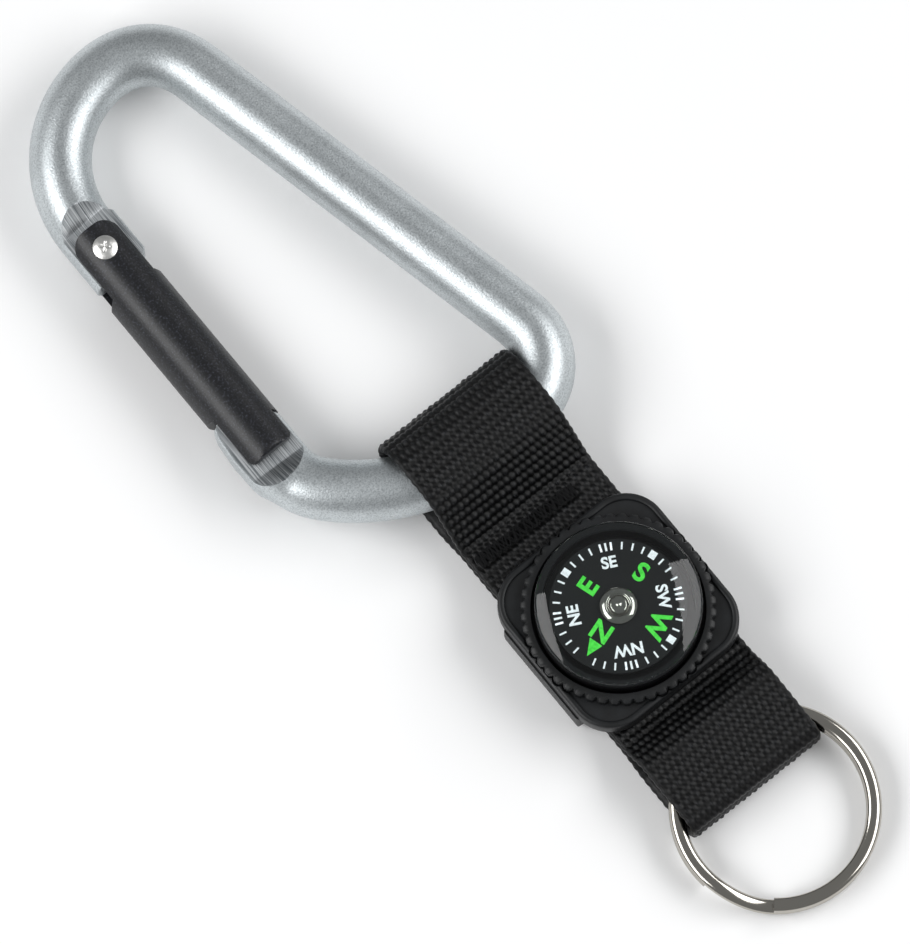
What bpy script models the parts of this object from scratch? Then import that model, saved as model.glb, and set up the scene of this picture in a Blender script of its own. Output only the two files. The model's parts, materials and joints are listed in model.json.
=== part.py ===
"""Carabiner keyring with a button compass, in metres, +Z up.

It lies flat on its back: +Y runs from the split ring to the carabiner, and the compass faces up.
Sizes are measured from the compass axis at floor level; the last step centres the box on the origin.
"""

import math

import bmesh
import bpy
import numpy as np
from mathutils import Matrix, Vector

MM = 0.001

# Clearances
GAP = 0.3 * MM  # between pieces that touch
SNUG = 0.12 * MM  # between small pieces that are pressed or glued together

# Carabiner rod: its bends, by their inside radius, and its straight, in order from the hinge end
ROD_DIAMETER = 7.6 * MM
WIDE_BEND_INSIDE = 10.6 * MM
SHOULDER_BEND_INSIDE = 4.6 * MM
SPINE_LENGTH = 50.6 * MM
SPINE_TILT = 12.7
CORNER_BEND_INSIDE = 3.4 * MM
CORNER_BEND_TURN = 85.0
NOSE_BEND_INSIDE = 2.7 * MM
NOSE_BEND_TURN = 41.0

# Hinge end and nose of the rod, along the gate leg
PIVOT_DROP = 3.8 * MM  # from the end of the wide bend to the pivot
TANG_THICKNESS = 3.9 * MM
TANG_REACH = 3.0 * MM  # from the pivot to the end of the tang
TANG_SHOULDER = 4.3 * MM  # from the pivot to the end of the flats
SCOOP_LENGTH = 2.3 * MM  # run-out of a milled flat
EAR_WIDTH = 0.3 * MM  # how far the tang's inner corner stands past the rod
NOSE_SHOULDER = 0.6 * MM  # from the nose bend to the end of its flats
NOSE_REACH = 7.4 * MM  # from the nose bend to the middle of its slanted tip
NOSE_TIP_SLANT = 27.0
NOSE_FLARE = 0.7 * MM  # how far the nose is spread outwards

# Gate
GATE_DIAMETER = 7.7 * MM
GATE_FORK_REACH = 3.2 * MM  # from the pivot to the rounded end of the fork
GATE_END_GAP = 1.5 * MM  # from the nose's flats to the end of the gate
GATE_END_BEVEL = 0.7 * MM
HINGE_SLOT_DEPTH = 5.3 * MM  # from the pivot to the bottom of the slot
RIVET_SHANK_RADIUS = 1.0 * MM
RIVET_HEAD_RADIUS = 1.45 * MM
RIVET_HEAD_HEIGHT = 0.6 * MM
RIVET_FIT = 0.1 * MM
SPRING_BORE_RADIUS = 1.6 * MM
SPRING_BORE_DEPTH = 12.3 * MM
PLUNGER_LENGTH = 6.0 * MM
SPRING_WIRE_RADIUS = 0.18 * MM
SPRING_TURNS = 7

# Strap
STRAP_WIDTH = 19.6 * MM
STRAP_THICKNESS = 1.2 * MM
STRAP_TO_ROD = 25.9 * MM  # from the compass axis to the rod's lowest bend
STRAP_TO_FOLD = 26.8 * MM  # from the compass axis to the outside of the ring fold
ROD_SIDESTEP = 1.1 * MM  # the rod's lowest bend is this far from the strap's middle
BARTACK_TO_COMPASS = 15.5 * MM
BARTACK_LENGTH = 15.4 * MM
BARTACK_WIDTH = 2.4 * MM
BARTACK_SIDESTEP = 1.8 * MM  # its middle is this far from the strap's, away from the spine
THREAD_THICKNESS = 0.35 * MM

# Compass holder
PLATE_SIZE = 23.6 * MM
PLATE_CORNER_RADIUS = 5.2 * MM
PLATE_THICKNESS = 2.7 * MM
PLATE_RIM_WIDTH = 0.9 * MM
PLATE_RIM_HEIGHT = 0.35 * MM
LOOP_LENGTH = 14.2 * MM
LOOP_FLOOR = 1.2 * MM
LOOP_WALL = 1.9 * MM
STRAP_GROOVE = 0.1 * MM  # the strap's tunnel goes this far into the plate's underside
COLLAR_WALL = 0.9 * MM
COLLAR_HEIGHT = 1.0 * MM  # above the plate
BEAD_COUNT = 48
BEAD_HEIGHT = 0.4 * MM
CAPSULE_SEAT = 1.0 * MM  # rubber left between the capsule and the strap

# Compass capsule and dial
CAPSULE_DIAMETER = 20.2 * MM
CAPSULE_WALL = 0.9 * MM
CUP_HEIGHT = 3.9 * MM
RIM_HEIGHT = 1.0 * MM  # straight edge of the dome
DOME_RISE = 2.0 * MM
DOME_WALL = 0.8 * MM
DIAL_DIAMETER = 16.6 * MM
DIAL_THICKNESS = 0.4 * MM
DIAL_DROP = 0.5 * MM  # from the joint of dome and cup down to the dial's face
HUB_RADIUS = 2.25 * MM
HUB_HEIGHT = 0.95 * MM
MAGNET_LENGTH = 9.0 * MM
MAGNET_WIDTH = 3.0 * MM
MAGNET_THICKNESS = 0.9 * MM
PIVOT_RADIUS = 1.1 * MM

# Split ring
RING_INNER_DIAMETER = 21.9 * MM
RING_WIRE_WIDTH = 1.8 * MM
RING_WIRE_HEIGHT = 1.3 * MM
RING_COIL_GAP = 0.12 * MM
RING_END_ANGLE = 230.0  # where the upper coil starts, counted from +X
RING_STEP_TURN = 36.0  # how far round the step from coil to coil runs
RING_END_GAP = 5.0
RING_SEAT = 0.6 * MM  # from the fold's inside to the wire at the strap's edges
RING_LEAN = 4.6  # the ring leans from the strap down to the floor

# Facets
ARC_STEP = 7.5
ROD_BEVEL_RESOLUTION = 6  # 16 sides
ROUND_STEPS = 48

rod_radius = ROD_DIAMETER / 2
wide_bend = WIDE_BEND_INSIDE + rod_radius
shoulder_bend = SHOULDER_BEND_INSIDE + rod_radius
corner_bend = CORNER_BEND_INSIDE + rod_radius
nose_bend = NOSE_BEND_INSIDE + rod_radius
gate_radius = GATE_DIAMETER / 2
capsule_radius = CAPSULE_DIAMETER / 2
slot_height = TANG_THICKNESS + 2 * GAP


# Scene, materials and objects


def clear_scene():
    for obj in list(bpy.data.objects):
        bpy.data.objects.remove(obj)


def make_collection(name):
    collection = bpy.data.collections.new(name)
    bpy.context.scene.collection.children.link(collection)
    return collection


def make_material(name, colour, roughness, metallic=0.0, alpha=1.0):
    material = bpy.data.materials.new(name)
    material.use_nodes = True
    shader = material.node_tree.nodes["Principled BSDF"]
    shader.inputs["Base Color"].default_value = (*colour, 1.0)
    shader.inputs["Roughness"].default_value = roughness
    shader.inputs["Metallic"].default_value = metallic
    shader.inputs["Alpha"].default_value = alpha
    return material


def make_empty(name, location, parent=None, tilt=0.0):
    """An empty at a location, turned about X by tilt degrees."""
    empty = bpy.data.objects.new(name, None)
    parts.objects.link(empty)
    empty.parent = parent
    empty.location = location
    empty.rotation_euler = (math.radians(tilt), 0.0, 0.0)
    return empty


def finish_piece(obj, material, parent):
    """Puts an object among the parts, with its material, under the empty that carries it."""
    for collection in list(obj.users_collection):
        collection.objects.unlink(obj)
    parts.objects.link(obj)
    obj.data.materials.clear()
    obj.data.materials.append(material)
    obj.parent = parent
    obj.data.shade_smooth()
    obj.data.set_sharp_from_angle(angle=math.radians(35))
    return obj


def hide_cutter(obj, parent):
    for collection in list(obj.users_collection):
        collection.objects.unlink(obj)
    cutters.objects.link(obj)
    obj.hide_render = True
    obj.display_type = "WIRE"
    obj.parent = parent
    return obj


def boolean(obj, other, operation):
    modifier = obj.modifiers.new(other.name, "BOOLEAN")
    modifier.operation = operation
    modifier.solver = "EXACT"
    modifier.object = other
    return obj


def cut(obj, *others):
    for other in others:
        boolean(obj, other, "DIFFERENCE")


def join(obj, *others):
    for other in others:
        boolean(obj, other, "UNION")


# Shapes


def mesh_of(curve_object, name):
    """The curve object as a closed mesh object in the same place; the curve is removed."""
    bpy.context.scene.collection.objects.link(curve_object)
    bpy.context.view_layer.update()
    evaluated = curve_object.evaluated_get(bpy.context.evaluated_depsgraph_get())
    mesh = bpy.data.meshes.new_from_object(evaluated)
    shell = bmesh.new()
    shell.from_mesh(mesh)
    bmesh.ops.remove_doubles(shell, verts=shell.verts, dist=0.001 * MM)
    bmesh.ops.recalc_face_normals(shell, faces=shell.faces)
    shell.to_mesh(mesh)
    shell.free()
    mesh.name = name
    obj = bpy.data.objects.new(name, mesh)
    obj.matrix_world = curve_object.matrix_world.copy()
    bpy.data.objects.remove(curve_object)
    bpy.context.scene.collection.objects.link(obj)
    return obj


def add_spline(curve, points, cyclic):
    spline = curve.splines.new("POLY")
    spline.points.add(len(points) - 1)
    for point, place in zip(spline.points, points):
        point.co = (*place, 0.0, 1.0) if len(place) == 2 else (*place, 1.0)
    spline.use_cyclic_u = cyclic


def prism(name, outline, low, high, plane="XY"):
    """An outline in a plane, filled and extruded from low to high along the plane's normal.

    In "XZ" the outline's second number runs along Z and the prism along Y; in "YZ" the outline
    lies in Y and Z and the prism runs along X.
    """
    curve = bpy.data.curves.new(name, "CURVE")
    curve.dimensions = "2D"
    curve.fill_mode = "BOTH"
    curve.extrude = (high - low) / 2
    add_spline(curve, outline, cyclic=True)
    obj = bpy.data.objects.new(name + "_outline", curve)
    middle = (low + high) / 2
    if plane == "XY":
        obj.matrix_world = Matrix.Translation((0.0, 0.0, middle))
    elif plane == "XZ":
        obj.matrix_world = Matrix.Translation((0.0, middle, 0.0)) @ Matrix.Rotation(math.pi / 2, 4, "X")
    else:
        turn = Matrix(((0, 0, 1), (1, 0, 0), (0, 1, 0))).to_4x4()
        obj.matrix_world = Matrix.Translation((middle, 0.0, 0.0)) @ turn
    solid = mesh_of(obj, name)
    solid.data.transform(solid.matrix_world)
    solid.matrix_world = Matrix.Identity(4)
    return solid


def tube(name, points, radius, resolution):
    """A round rod of a radius along a list of points, with flat ends."""
    curve = bpy.data.curves.new(name, "CURVE")
    curve.dimensions = "3D"
    curve.twist_mode = "Z_UP"
    curve.bevel_depth = radius
    curve.bevel_resolution = resolution
    curve.use_fill_caps = True
    add_spline(curve, points, cyclic=False)
    return mesh_of(bpy.data.objects.new(name + "_line", curve), name)


def turned(name, profile, location=(0.0, 0.0, 0.0), steps=ROUND_STEPS):
    """A profile of (radius, height) points, from the top down, turned about a vertical axis."""
    mesh = bpy.data.meshes.new(name)
    vertices = [(radius, 0.0, height) for radius, height in profile]
    edges = [(index, index + 1) for index in range(len(profile) - 1)]
    if profile[0][0] > 0.0:  # a ring's profile is a closed loop
        edges.append((len(profile) - 1, 0))
    mesh.from_pydata(vertices, edges, [])
    obj = bpy.data.objects.new(name, mesh)
    bpy.context.scene.collection.objects.link(obj)
    screw = obj.modifiers.new("Turn", "SCREW")
    screw.steps = steps
    screw.render_steps = steps
    screw.use_merge_vertices = True
    screw.merge_threshold = 0.00001
    bpy.context.view_layer.update()
    evaluated = obj.evaluated_get(bpy.context.evaluated_depsgraph_get())
    solid_mesh = bpy.data.meshes.new_from_object(evaluated)
    bpy.data.objects.remove(obj)
    shell = bmesh.new()
    shell.from_mesh(solid_mesh)
    bmesh.ops.remove_doubles(shell, verts=shell.verts, dist=0.001 * MM)
    on_axis = [edge for edge in shell.edges if not edge.link_faces]
    bmesh.ops.delete(shell, geom=on_axis, context="EDGES")
    bmesh.ops.recalc_face_normals(shell, faces=shell.faces)
    shell.to_mesh(solid_mesh)
    shell.free()
    solid_mesh.transform(Matrix.Translation(location))
    solid_mesh.name = name
    solid = bpy.data.objects.new(name, solid_mesh)
    bpy.context.scene.collection.objects.link(solid)
    return solid


def cylinder(name, radius, start, end, sides=24):
    """A plain cylinder between two points."""
    start, end = Vector(start), Vector(end)
    shell = bmesh.new()
    bmesh.ops.create_cone(
        shell, cap_ends=True, segments=sides, radius1=radius, radius2=radius, depth=(end - start).length
    )
    turn = (end - start).to_track_quat("Z", "Y").to_matrix().to_4x4()
    bmesh.ops.transform(shell, matrix=Matrix.Translation((start + end) / 2) @ turn, verts=shell.verts)
    mesh = bpy.data.meshes.new(name)
    shell.to_mesh(mesh)
    shell.free()
    obj = bpy.data.objects.new(name, mesh)
    bpy.context.scene.collection.objects.link(obj)
    return obj


def rounded_polygon(corners, step=ARC_STEP):
    """A closed outline through corners (x, y, radius), each rounded by an arc of its radius."""
    points = []
    for index, (x, y, radius) in enumerate(corners):
        here = Vector((x, y))
        before = (here - Vector(corners[index - 1][:2])).normalized()
        after = (Vector(corners[(index + 1) % len(corners)][:2]) - here).normalized()
        turn = math.atan2(before.x * after.y - before.y * after.x, before.dot(after))
        if radius <= 0.0:
            points.append((x, y))
            continue
        side = math.copysign(1.0, turn)
        start = here - before * radius * math.tan(abs(turn) / 2)
        centre = start + side * radius * Vector((-before.y, before.x))
        pieces = max(1, round(math.degrees(abs(turn)) / step))
        for piece in range(pieces + 1):
            angle = turn * piece / pieces
            spoke = start - centre
            points.append(
                (
                    centre.x + spoke.x * math.cos(angle) - spoke.y * math.sin(angle),
                    centre.y + spoke.x * math.sin(angle) + spoke.y * math.cos(angle),
                )
            )
    return points


def rounded_box_outline(half_width, half_height, radius, middle=(0.0, 0.0)):
    x, y = middle
    return rounded_polygon(
        [
            (x - half_width, y - half_height, radius),
            (x + half_width, y - half_height, radius),
            (x + half_width, y + half_height, radius),
            (x - half_width, y + half_height, radius),
        ]
    )


def circle_outline(radius, middle=(0.0, 0.0), sides=ROUND_STEPS):
    angles = np.arange(sides) * 2 * math.pi / sides
    return [(middle[0] + radius * math.cos(a), middle[1] + radius * math.sin(a)) for a in angles]


# Carabiner centre line


def bend(start, heading, radius, turn):
    """Points and end heading of a clockwise bend: a circle about the point to the right of the heading."""
    to_side = math.radians(heading - 90.0)
    centre = start + radius * Vector((math.cos(to_side), math.sin(to_side)))
    pieces = max(2, round(turn / ARC_STEP))
    points = []
    for piece in range(1, pieces + 1):
        angle = math.radians(heading - turn * piece / pieces - 90.0)
        points.append(centre - radius * Vector((math.cos(angle), math.sin(angle))))
    return points, heading - turn


def basket_bend():
    """Turn and radius of the wide bend in the strap, which closes the line back onto the gate leg."""
    turn = 270.0 - (90.0 - SPINE_TILT) - CORNER_BEND_TURN - NOSE_BEND_TURN
    spine = math.radians(SPINE_TILT - 90.0)
    corner = spine - math.radians(CORNER_BEND_TURN)
    nose = corner - math.radians(turn)
    width = wide_bend - shoulder_bend * math.sin(spine) + SPINE_LENGTH * math.cos(spine)
    width += corner_bend * (math.sin(spine) - math.sin(corner))
    width += nose_bend * (math.sin(nose) - 1.0)
    return turn, width / (math.sin(nose) - math.sin(corner))


def carabiner_line():
    """The rod's centre line from the end of the hinge leg to the start of the nose.

    The line is moved so that the lowest point of the basket bend is at the origin. It returns the
    points, and the places where the gate leg begins at the hinge and at the nose.
    """
    basket_turn, basket_radius = basket_bend()
    hinge = Vector((0.0, 0.0))
    line = [hinge]
    heading = 90.0
    bends = (
        (wide_bend, 90.0),
        (shoulder_bend, 90.0 - SPINE_TILT),
        (None, SPINE_LENGTH),
        (corner_bend, CORNER_BEND_TURN),
        (basket_radius, basket_turn),
        (nose_bend, NOSE_BEND_TURN),
    )
    for radius, amount in bends:
        if radius is None:
            along = math.radians(heading)
            line.append(line[-1] + amount * Vector((math.cos(along), math.sin(along))))
            continue
        if radius == basket_radius:
            to_side = math.radians(heading - 90.0)
            centre = line[-1] + radius * Vector((math.cos(to_side), math.sin(to_side)))
            lowest = centre - Vector((0.0, radius))
        points, heading = bend(line[-1], heading, radius, amount)
        line.extend(points)
    line = [point - lowest for point in line]
    return line, line[0], line[-1]


# Pieces of the carabiner, in the rod's own plane


def build_carabiner(frame):
    line, hinge_top, nose_start = carabiner_line()
    leg_x = hinge_top.x
    pivot = Vector((leg_x, hinge_top.y - PIVOT_DROP))
    half_tang = TANG_THICKNESS / 2
    tang_end = pivot.y - TANG_REACH
    nose_tip = nose_start.y + NOSE_REACH
    slant = math.tan(math.radians(NOSE_TIP_SLANT))

    rod_points = [(leg_x, tang_end, 0.0)] + [(p.x, p.y, 0.0) for p in line]
    rod_points.append((leg_x, nose_tip + rod_radius * slant + GAP, 0.0))
    body = tube("carabiner_body", rod_points, rod_radius, ROD_BEVEL_RESOLUTION)

    blank = half_tang + 0.2 * MM  # a little thicker than the tang, then milled flat
    ear_edge = leg_x + rod_radius + EAR_WIDTH
    ear = prism(
        "hinge_ear",
        rounded_polygon(
            [
                (leg_x, tang_end + 0.4 * MM, 0.0),
                (ear_edge, tang_end + 0.4 * MM, 0.9 * MM),
                (ear_edge, pivot.y + TANG_SHOULDER, 1.2 * MM),
                (leg_x, pivot.y + TANG_SHOULDER, 0.0),
            ]
        ),
        -blank,
        blank,
    )
    flare = prism(
        "nose_flare",
        rounded_polygon(
            [
                (leg_x - rod_radius - NOSE_FLARE, nose_start.y + NOSE_SHOULDER, 2.0 * MM),
                (leg_x, nose_start.y + NOSE_SHOULDER, 0.0),
                (leg_x, nose_tip, 0.0),
                (leg_x - rod_radius - NOSE_FLARE, nose_tip + 2 * rod_radius * slant, 1.2 * MM),
            ]
        ),
        -blank,
        blank,
    )
    join(body, hide_cutter(ear, frame), hide_cutter(flare, frame))

    reach = 2 * rod_radius
    run_out = SCOOP_LENGTH * (reach - half_tang) / (rod_radius - half_tang)
    for side in (1.0, -1.0):
        hinge_flat = [
            (tang_end - reach, side * half_tang),
            (pivot.y + TANG_SHOULDER, side * half_tang),
            (pivot.y + TANG_SHOULDER + run_out, side * reach),
            (tang_end - reach, side * reach),
        ]
        nose_flat = [
            (nose_tip + reach, side * half_tang),
            (nose_start.y + NOSE_SHOULDER, side * half_tang),
            (nose_start.y + NOSE_SHOULDER - run_out, side * reach),
            (nose_tip + reach, side * reach),
        ]
        for label, outline in (("hinge_flat", hinge_flat), ("nose_flat", nose_flat)):
            cutter = prism(f"{label}_{side:+.0f}", outline, leg_x - reach, leg_x + 0.9 * reach, "YZ")
            cut(body, hide_cutter(cutter, frame))
    wide = 2 * rod_radius
    slant_cutter = prism(
        "nose_slant",
        [
            (leg_x - wide, nose_tip + wide * slant),
            (leg_x + wide, nose_tip - wide * slant),
            (leg_x + wide, nose_tip + 3 * wide),
            (leg_x - wide, nose_tip + 3 * wide),
        ],
        -reach,
        reach,
    )
    hole_radius = RIVET_SHANK_RADIUS + RIVET_FIT
    hole = cylinder("rivet_hole", hole_radius, (*pivot, -reach), (*pivot, reach))
    cut(body, hide_cutter(slant_cutter, frame), hide_cutter(hole, frame))
    finish_piece(body, satin_aluminium, frame)

    build_gate(frame, pivot, nose_start, nose_tip, slant)
    head_base = gate_radius - RIVET_HEAD_HEIGHT + 0.1 * MM
    crown = head_base + RIVET_HEAD_HEIGHT
    rivet_profile = [
        (0.0, crown),
        (0.8 * RIVET_HEAD_RADIUS, crown - 0.12 * MM),
        (RIVET_HEAD_RADIUS, crown - 0.35 * MM),
        (RIVET_HEAD_RADIUS, head_base),
        (RIVET_SHANK_RADIUS, head_base),
    ]
    rivet_profile += [(radius, -height) for radius, height in reversed(rivet_profile)]
    rivet = turned("gate_rivet", rivet_profile, (*pivot, 0.0), steps=24)
    finish_piece(rivet, bright_steel, frame)


def build_gate(frame, pivot, nose_start, nose_tip, slant):
    """The gate rod with its forked ends, and the spring and plunger in its bore."""
    leg_x = pivot.x
    gate_end = nose_start.y + NOSE_SHOULDER + GATE_END_GAP
    hinge_slot = pivot.y - HINGE_SLOT_DEPTH
    gate = cylinder(
        "gate", gate_radius, (leg_x, gate_end, 0.0), (leg_x, pivot.y + GATE_FORK_REACH, 0.0), sides=32
    )
    wide = 1.2 * gate_radius
    fork_half = math.sqrt(gate_radius**2 - (slot_height / 2) ** 2)
    plan = rounded_polygon(
        [
            (leg_x - wide, gate_end - MM, 0.0),
            (leg_x + wide, gate_end - MM, 0.0),
            (leg_x + wide, hinge_slot - 0.5 * MM, 0.0),
            (leg_x + fork_half, hinge_slot + 0.6 * MM, 0.0),
            (leg_x + fork_half, pivot.y + GATE_FORK_REACH, 2.4 * MM),
            (leg_x - fork_half, pivot.y + GATE_FORK_REACH, 2.4 * MM),
            (leg_x - fork_half, hinge_slot + 0.6 * MM, 0.0),
            (leg_x - wide, hinge_slot - 0.5 * MM, 0.0),
        ]
    )
    shape = prism("gate_plan", plan, -wide, wide)
    boolean(gate, hide_cutter(shape, frame), "INTERSECT")
    half_slot = slot_height / 2
    tip_gap = 2 * GAP
    nose_slot = prism(
        "nose_slot",
        [
            (leg_x - 2 * wide, gate_end - 3 * MM),
            (leg_x + 2 * wide, gate_end - 3 * MM),
            (leg_x + 2 * wide, nose_tip - 2 * wide * slant + tip_gap),
            (leg_x - 2 * wide, nose_tip + 2 * wide * slant + tip_gap),
        ],
        -half_slot,
        half_slot,
    )
    fork_slot = prism(
        "fork_slot",
        [
            (leg_x - 2 * wide, hinge_slot),
            (leg_x + 2 * wide, hinge_slot),
            (leg_x + 2 * wide, pivot.y + 2 * wide),
            (leg_x - 2 * wide, pivot.y + 2 * wide),
        ],
        -half_slot,
        half_slot,
    )
    hole_radius = RIVET_SHANK_RADIUS + RIVET_FIT
    hole = cylinder("gate_rivet_hole", hole_radius, (*pivot, -wide), (*pivot, wide))
    bore_end = hinge_slot - SPRING_BORE_DEPTH
    bore = cylinder("spring_bore", SPRING_BORE_RADIUS, (leg_x, bore_end, 0.0), (leg_x, hinge_slot + MM, 0.0))
    cut(gate, hide_cutter(nose_slot, frame), hide_cutter(fork_slot, frame))
    cut(gate, hide_cutter(hole, frame), hide_cutter(bore, frame))
    recess_radius = RIVET_HEAD_RADIUS + RIVET_FIT
    floor = gate_radius - RIVET_HEAD_HEIGHT
    for side in (1.0, -1.0):
        recess = cylinder(
            f"rivet_recess_{side:+.0f}", recess_radius, (*pivot, side * floor), (*pivot, side * 2 * wide)
        )
        bevel = prism(
            f"gate_end_bevel_{side:+.0f}",
            [
                (gate_end - MM, side * (gate_radius - GATE_END_BEVEL - MM)),
                (gate_end + GATE_END_BEVEL + MM, side * (gate_radius + MM)),
                (gate_end - MM, side * (gate_radius + MM)),
            ],
            leg_x - wide,
            leg_x + wide,
            "YZ",
        )
        cut(gate, hide_cutter(recess, frame), hide_cutter(bevel, frame))
    finish_piece(gate, black_anodised, frame)

    plunger_top = pivot.y - TANG_REACH - GAP
    plunger_radius = SPRING_BORE_RADIUS - GAP
    plunger = turned(
        "spring_plunger",
        [
            (0.0, 0.0),
            (0.6 * plunger_radius, -0.12 * MM),
            (plunger_radius, -0.5 * MM),
            (plunger_radius, -PLUNGER_LENGTH),
            (0.0, -PLUNGER_LENGTH),
        ],
        steps=20,
    )
    along_leg = Matrix.Translation((leg_x, plunger_top, 0.0)) @ Matrix.Rotation(-math.pi / 2, 4, "X")
    plunger.data.transform(along_leg)
    finish_piece(plunger, bright_steel, frame)

    coil_radius = SPRING_BORE_RADIUS - GAP - SPRING_WIRE_RADIUS
    spring_top = plunger_top - PLUNGER_LENGTH - GAP - SPRING_WIRE_RADIUS
    spring_bottom = bore_end + GAP + SPRING_WIRE_RADIUS
    steps = 12 * SPRING_TURNS
    turns = np.linspace(0.0, 2 * math.pi * SPRING_TURNS, steps + 1)
    heights = np.linspace(spring_bottom, spring_top, steps + 1)
    coil = [
        (leg_x + coil_radius * math.cos(turn), height, coil_radius * math.sin(turn))
        for turn, height in zip(turns, heights)
    ]
    spring = tube("gate_spring", coil, SPRING_WIRE_RADIUS, 1)
    finish_piece(spring, bright_steel, frame)


# Heights of the stack, from the floor

tunnel_height = 2 * STRAP_THICKNESS + 3 * GAP
lower_middle = LOOP_FLOOR + GAP + STRAP_THICKNESS / 2
upper_middle = lower_middle + STRAP_THICKNESS + GAP
plate_bottom = LOOP_FLOOR + tunnel_height
plate_top = plate_bottom + PLATE_THICKNESS
seat_height = plate_bottom + CAPSULE_SEAT
capsule_bottom = seat_height + GAP
cup_top = capsule_bottom + CUP_HEIGHT
dome_bottom = cup_top + SNUG
dome_rim = dome_bottom + RIM_HEIGHT
dome_top = dome_rim + DOME_RISE

rod_height = STRAP_THICKNESS + GAP + rod_radius
ring_height = 2 * RING_WIRE_HEIGHT + RING_COIL_GAP
ring_middle = STRAP_THICKNESS + GAP + ring_height / 2
fold_inside = -STRAP_TO_FOLD + STRAP_THICKNESS
ring_radius = (RING_INNER_DIAMETER + RING_WIRE_WIDTH) / 2


def rod_edge_in_strap():
    """How far the rod's inner edge stands above the basket's lowest point, within the strap's width."""
    line = np.array([tuple(point) for point in carabiner_line()[0]])
    share = np.linspace(0.0, 1.0, 9)[:, None]
    edges = []
    for start, end in zip(line[:-1], line[1:]):
        along = (end - start) / np.linalg.norm(end - start)
        if along[0] > -0.45:  # only where the rod runs across the strap
            continue
        inward = np.array([along[1], -along[0]])
        edges.append(start + share * (end - start) + rod_radius * inward)
    edges = np.concatenate(edges)
    inside = np.abs(edges[:, 0] + ROD_SIDESTEP) <= STRAP_WIDTH / 2
    return edges[inside, 1].max()


def strap_line():
    """The strap's middle line in Y and Z, as a closed outline: round the rod and round the ring."""
    half = STRAP_THICKNESS / 2
    top_end = STRAP_TO_ROD + rod_edge_in_strap() + GAP + half
    over_rod = rod_height + rod_radius + GAP + half
    loop_radius = over_rod - rod_height
    flare = BARTACK_TO_COMPASS + BARTACK_WIDTH / 2 + 1.0 * MM

    # The upper layer leaves the bartack on a line that touches the circle round the rod.
    to_centre = Vector((STRAP_TO_ROD - flare, rod_height - upper_middle))
    climb = math.atan2(to_centre.y, to_centre.x) + math.asin(loop_radius / to_centre.length)
    meets = flare + (over_rod - upper_middle) / math.tan(climb)

    ring_top_end = fold_inside - half
    over_ring = ring_middle + ring_height / 2 + GAP + half
    ring_far = fold_inside + RING_SEAT - math.sqrt(
        (RING_INNER_DIAMETER / 2) ** 2 - (STRAP_WIDTH / 2) ** 2
    ) + RING_INNER_DIAMETER / 2 + RING_WIRE_WIDTH
    lean = math.tan(math.radians(RING_LEAN))
    over_far = over_ring + (ring_far - fold_inside) * lean + 0.2 * MM
    side_start = -PLATE_SIZE / 2 - 1.6 * MM
    return [
        (top_end, over_rod, 0.98 * loop_radius),
        (top_end, half, 0.98 * loop_radius),
        (flare + 3.6 * MM, half, 3 * MM),
        (flare, lower_middle, 3 * MM),
        (side_start, lower_middle, 5 * MM),
        (side_start - 3.5 * MM, half, 5 * MM),
        (ring_top_end, half, 1.6 * MM),
        (ring_top_end, over_ring, 1.6 * MM),
        (ring_far + 0.5 * MM, over_far, 3.5 * MM),
        (side_start, upper_middle, 3.5 * MM),
        (flare, upper_middle, 2 * MM),
        (meets, over_rod, loop_radius),
    ]


def build_strap():
    corners = strap_line()
    curve = bpy.data.curves.new("strap", "CURVE")
    curve.dimensions = "2D"
    curve.fill_mode = "NONE"
    curve.extrude = STRAP_WIDTH / 2
    add_spline(curve, rounded_polygon(corners, step=11.0), cyclic=True)
    ribbon = bpy.data.objects.new("strap_line", curve)
    ribbon.matrix_world = Matrix(((0, 0, 1), (1, 0, 0), (0, 1, 0))).to_4x4()
    strap = mesh_of(ribbon, "strap")
    strap.data.transform(strap.matrix_world)
    strap.matrix_world = Matrix.Identity(4)
    wall = strap.modifiers.new("Webbing", "SOLIDIFY")
    wall.thickness = STRAP_THICKNESS
    wall.offset = 0.0
    wall.use_even_offset = True
    wall.use_quality_normals = True
    finish_piece(strap, black_webbing, root)

    tack = rounded_box_outline(
        BARTACK_LENGTH / 2, BARTACK_WIDTH / 2, 0.6 * MM, middle=(-BARTACK_SIDESTEP, BARTACK_TO_COMPASS)
    )
    above = upper_middle + STRAP_THICKNESS / 2 + SNUG
    below = lower_middle - STRAP_THICKNESS / 2 - SNUG
    needle_thread = prism("bartack_needle_thread", tack, above, above + THREAD_THICKNESS)
    bobbin_thread = prism("bartack_bobbin_thread", tack, below - THREAD_THICKNESS, below)
    finish_piece(needle_thread, black_thread, root)
    finish_piece(bobbin_thread, black_thread, root)


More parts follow.
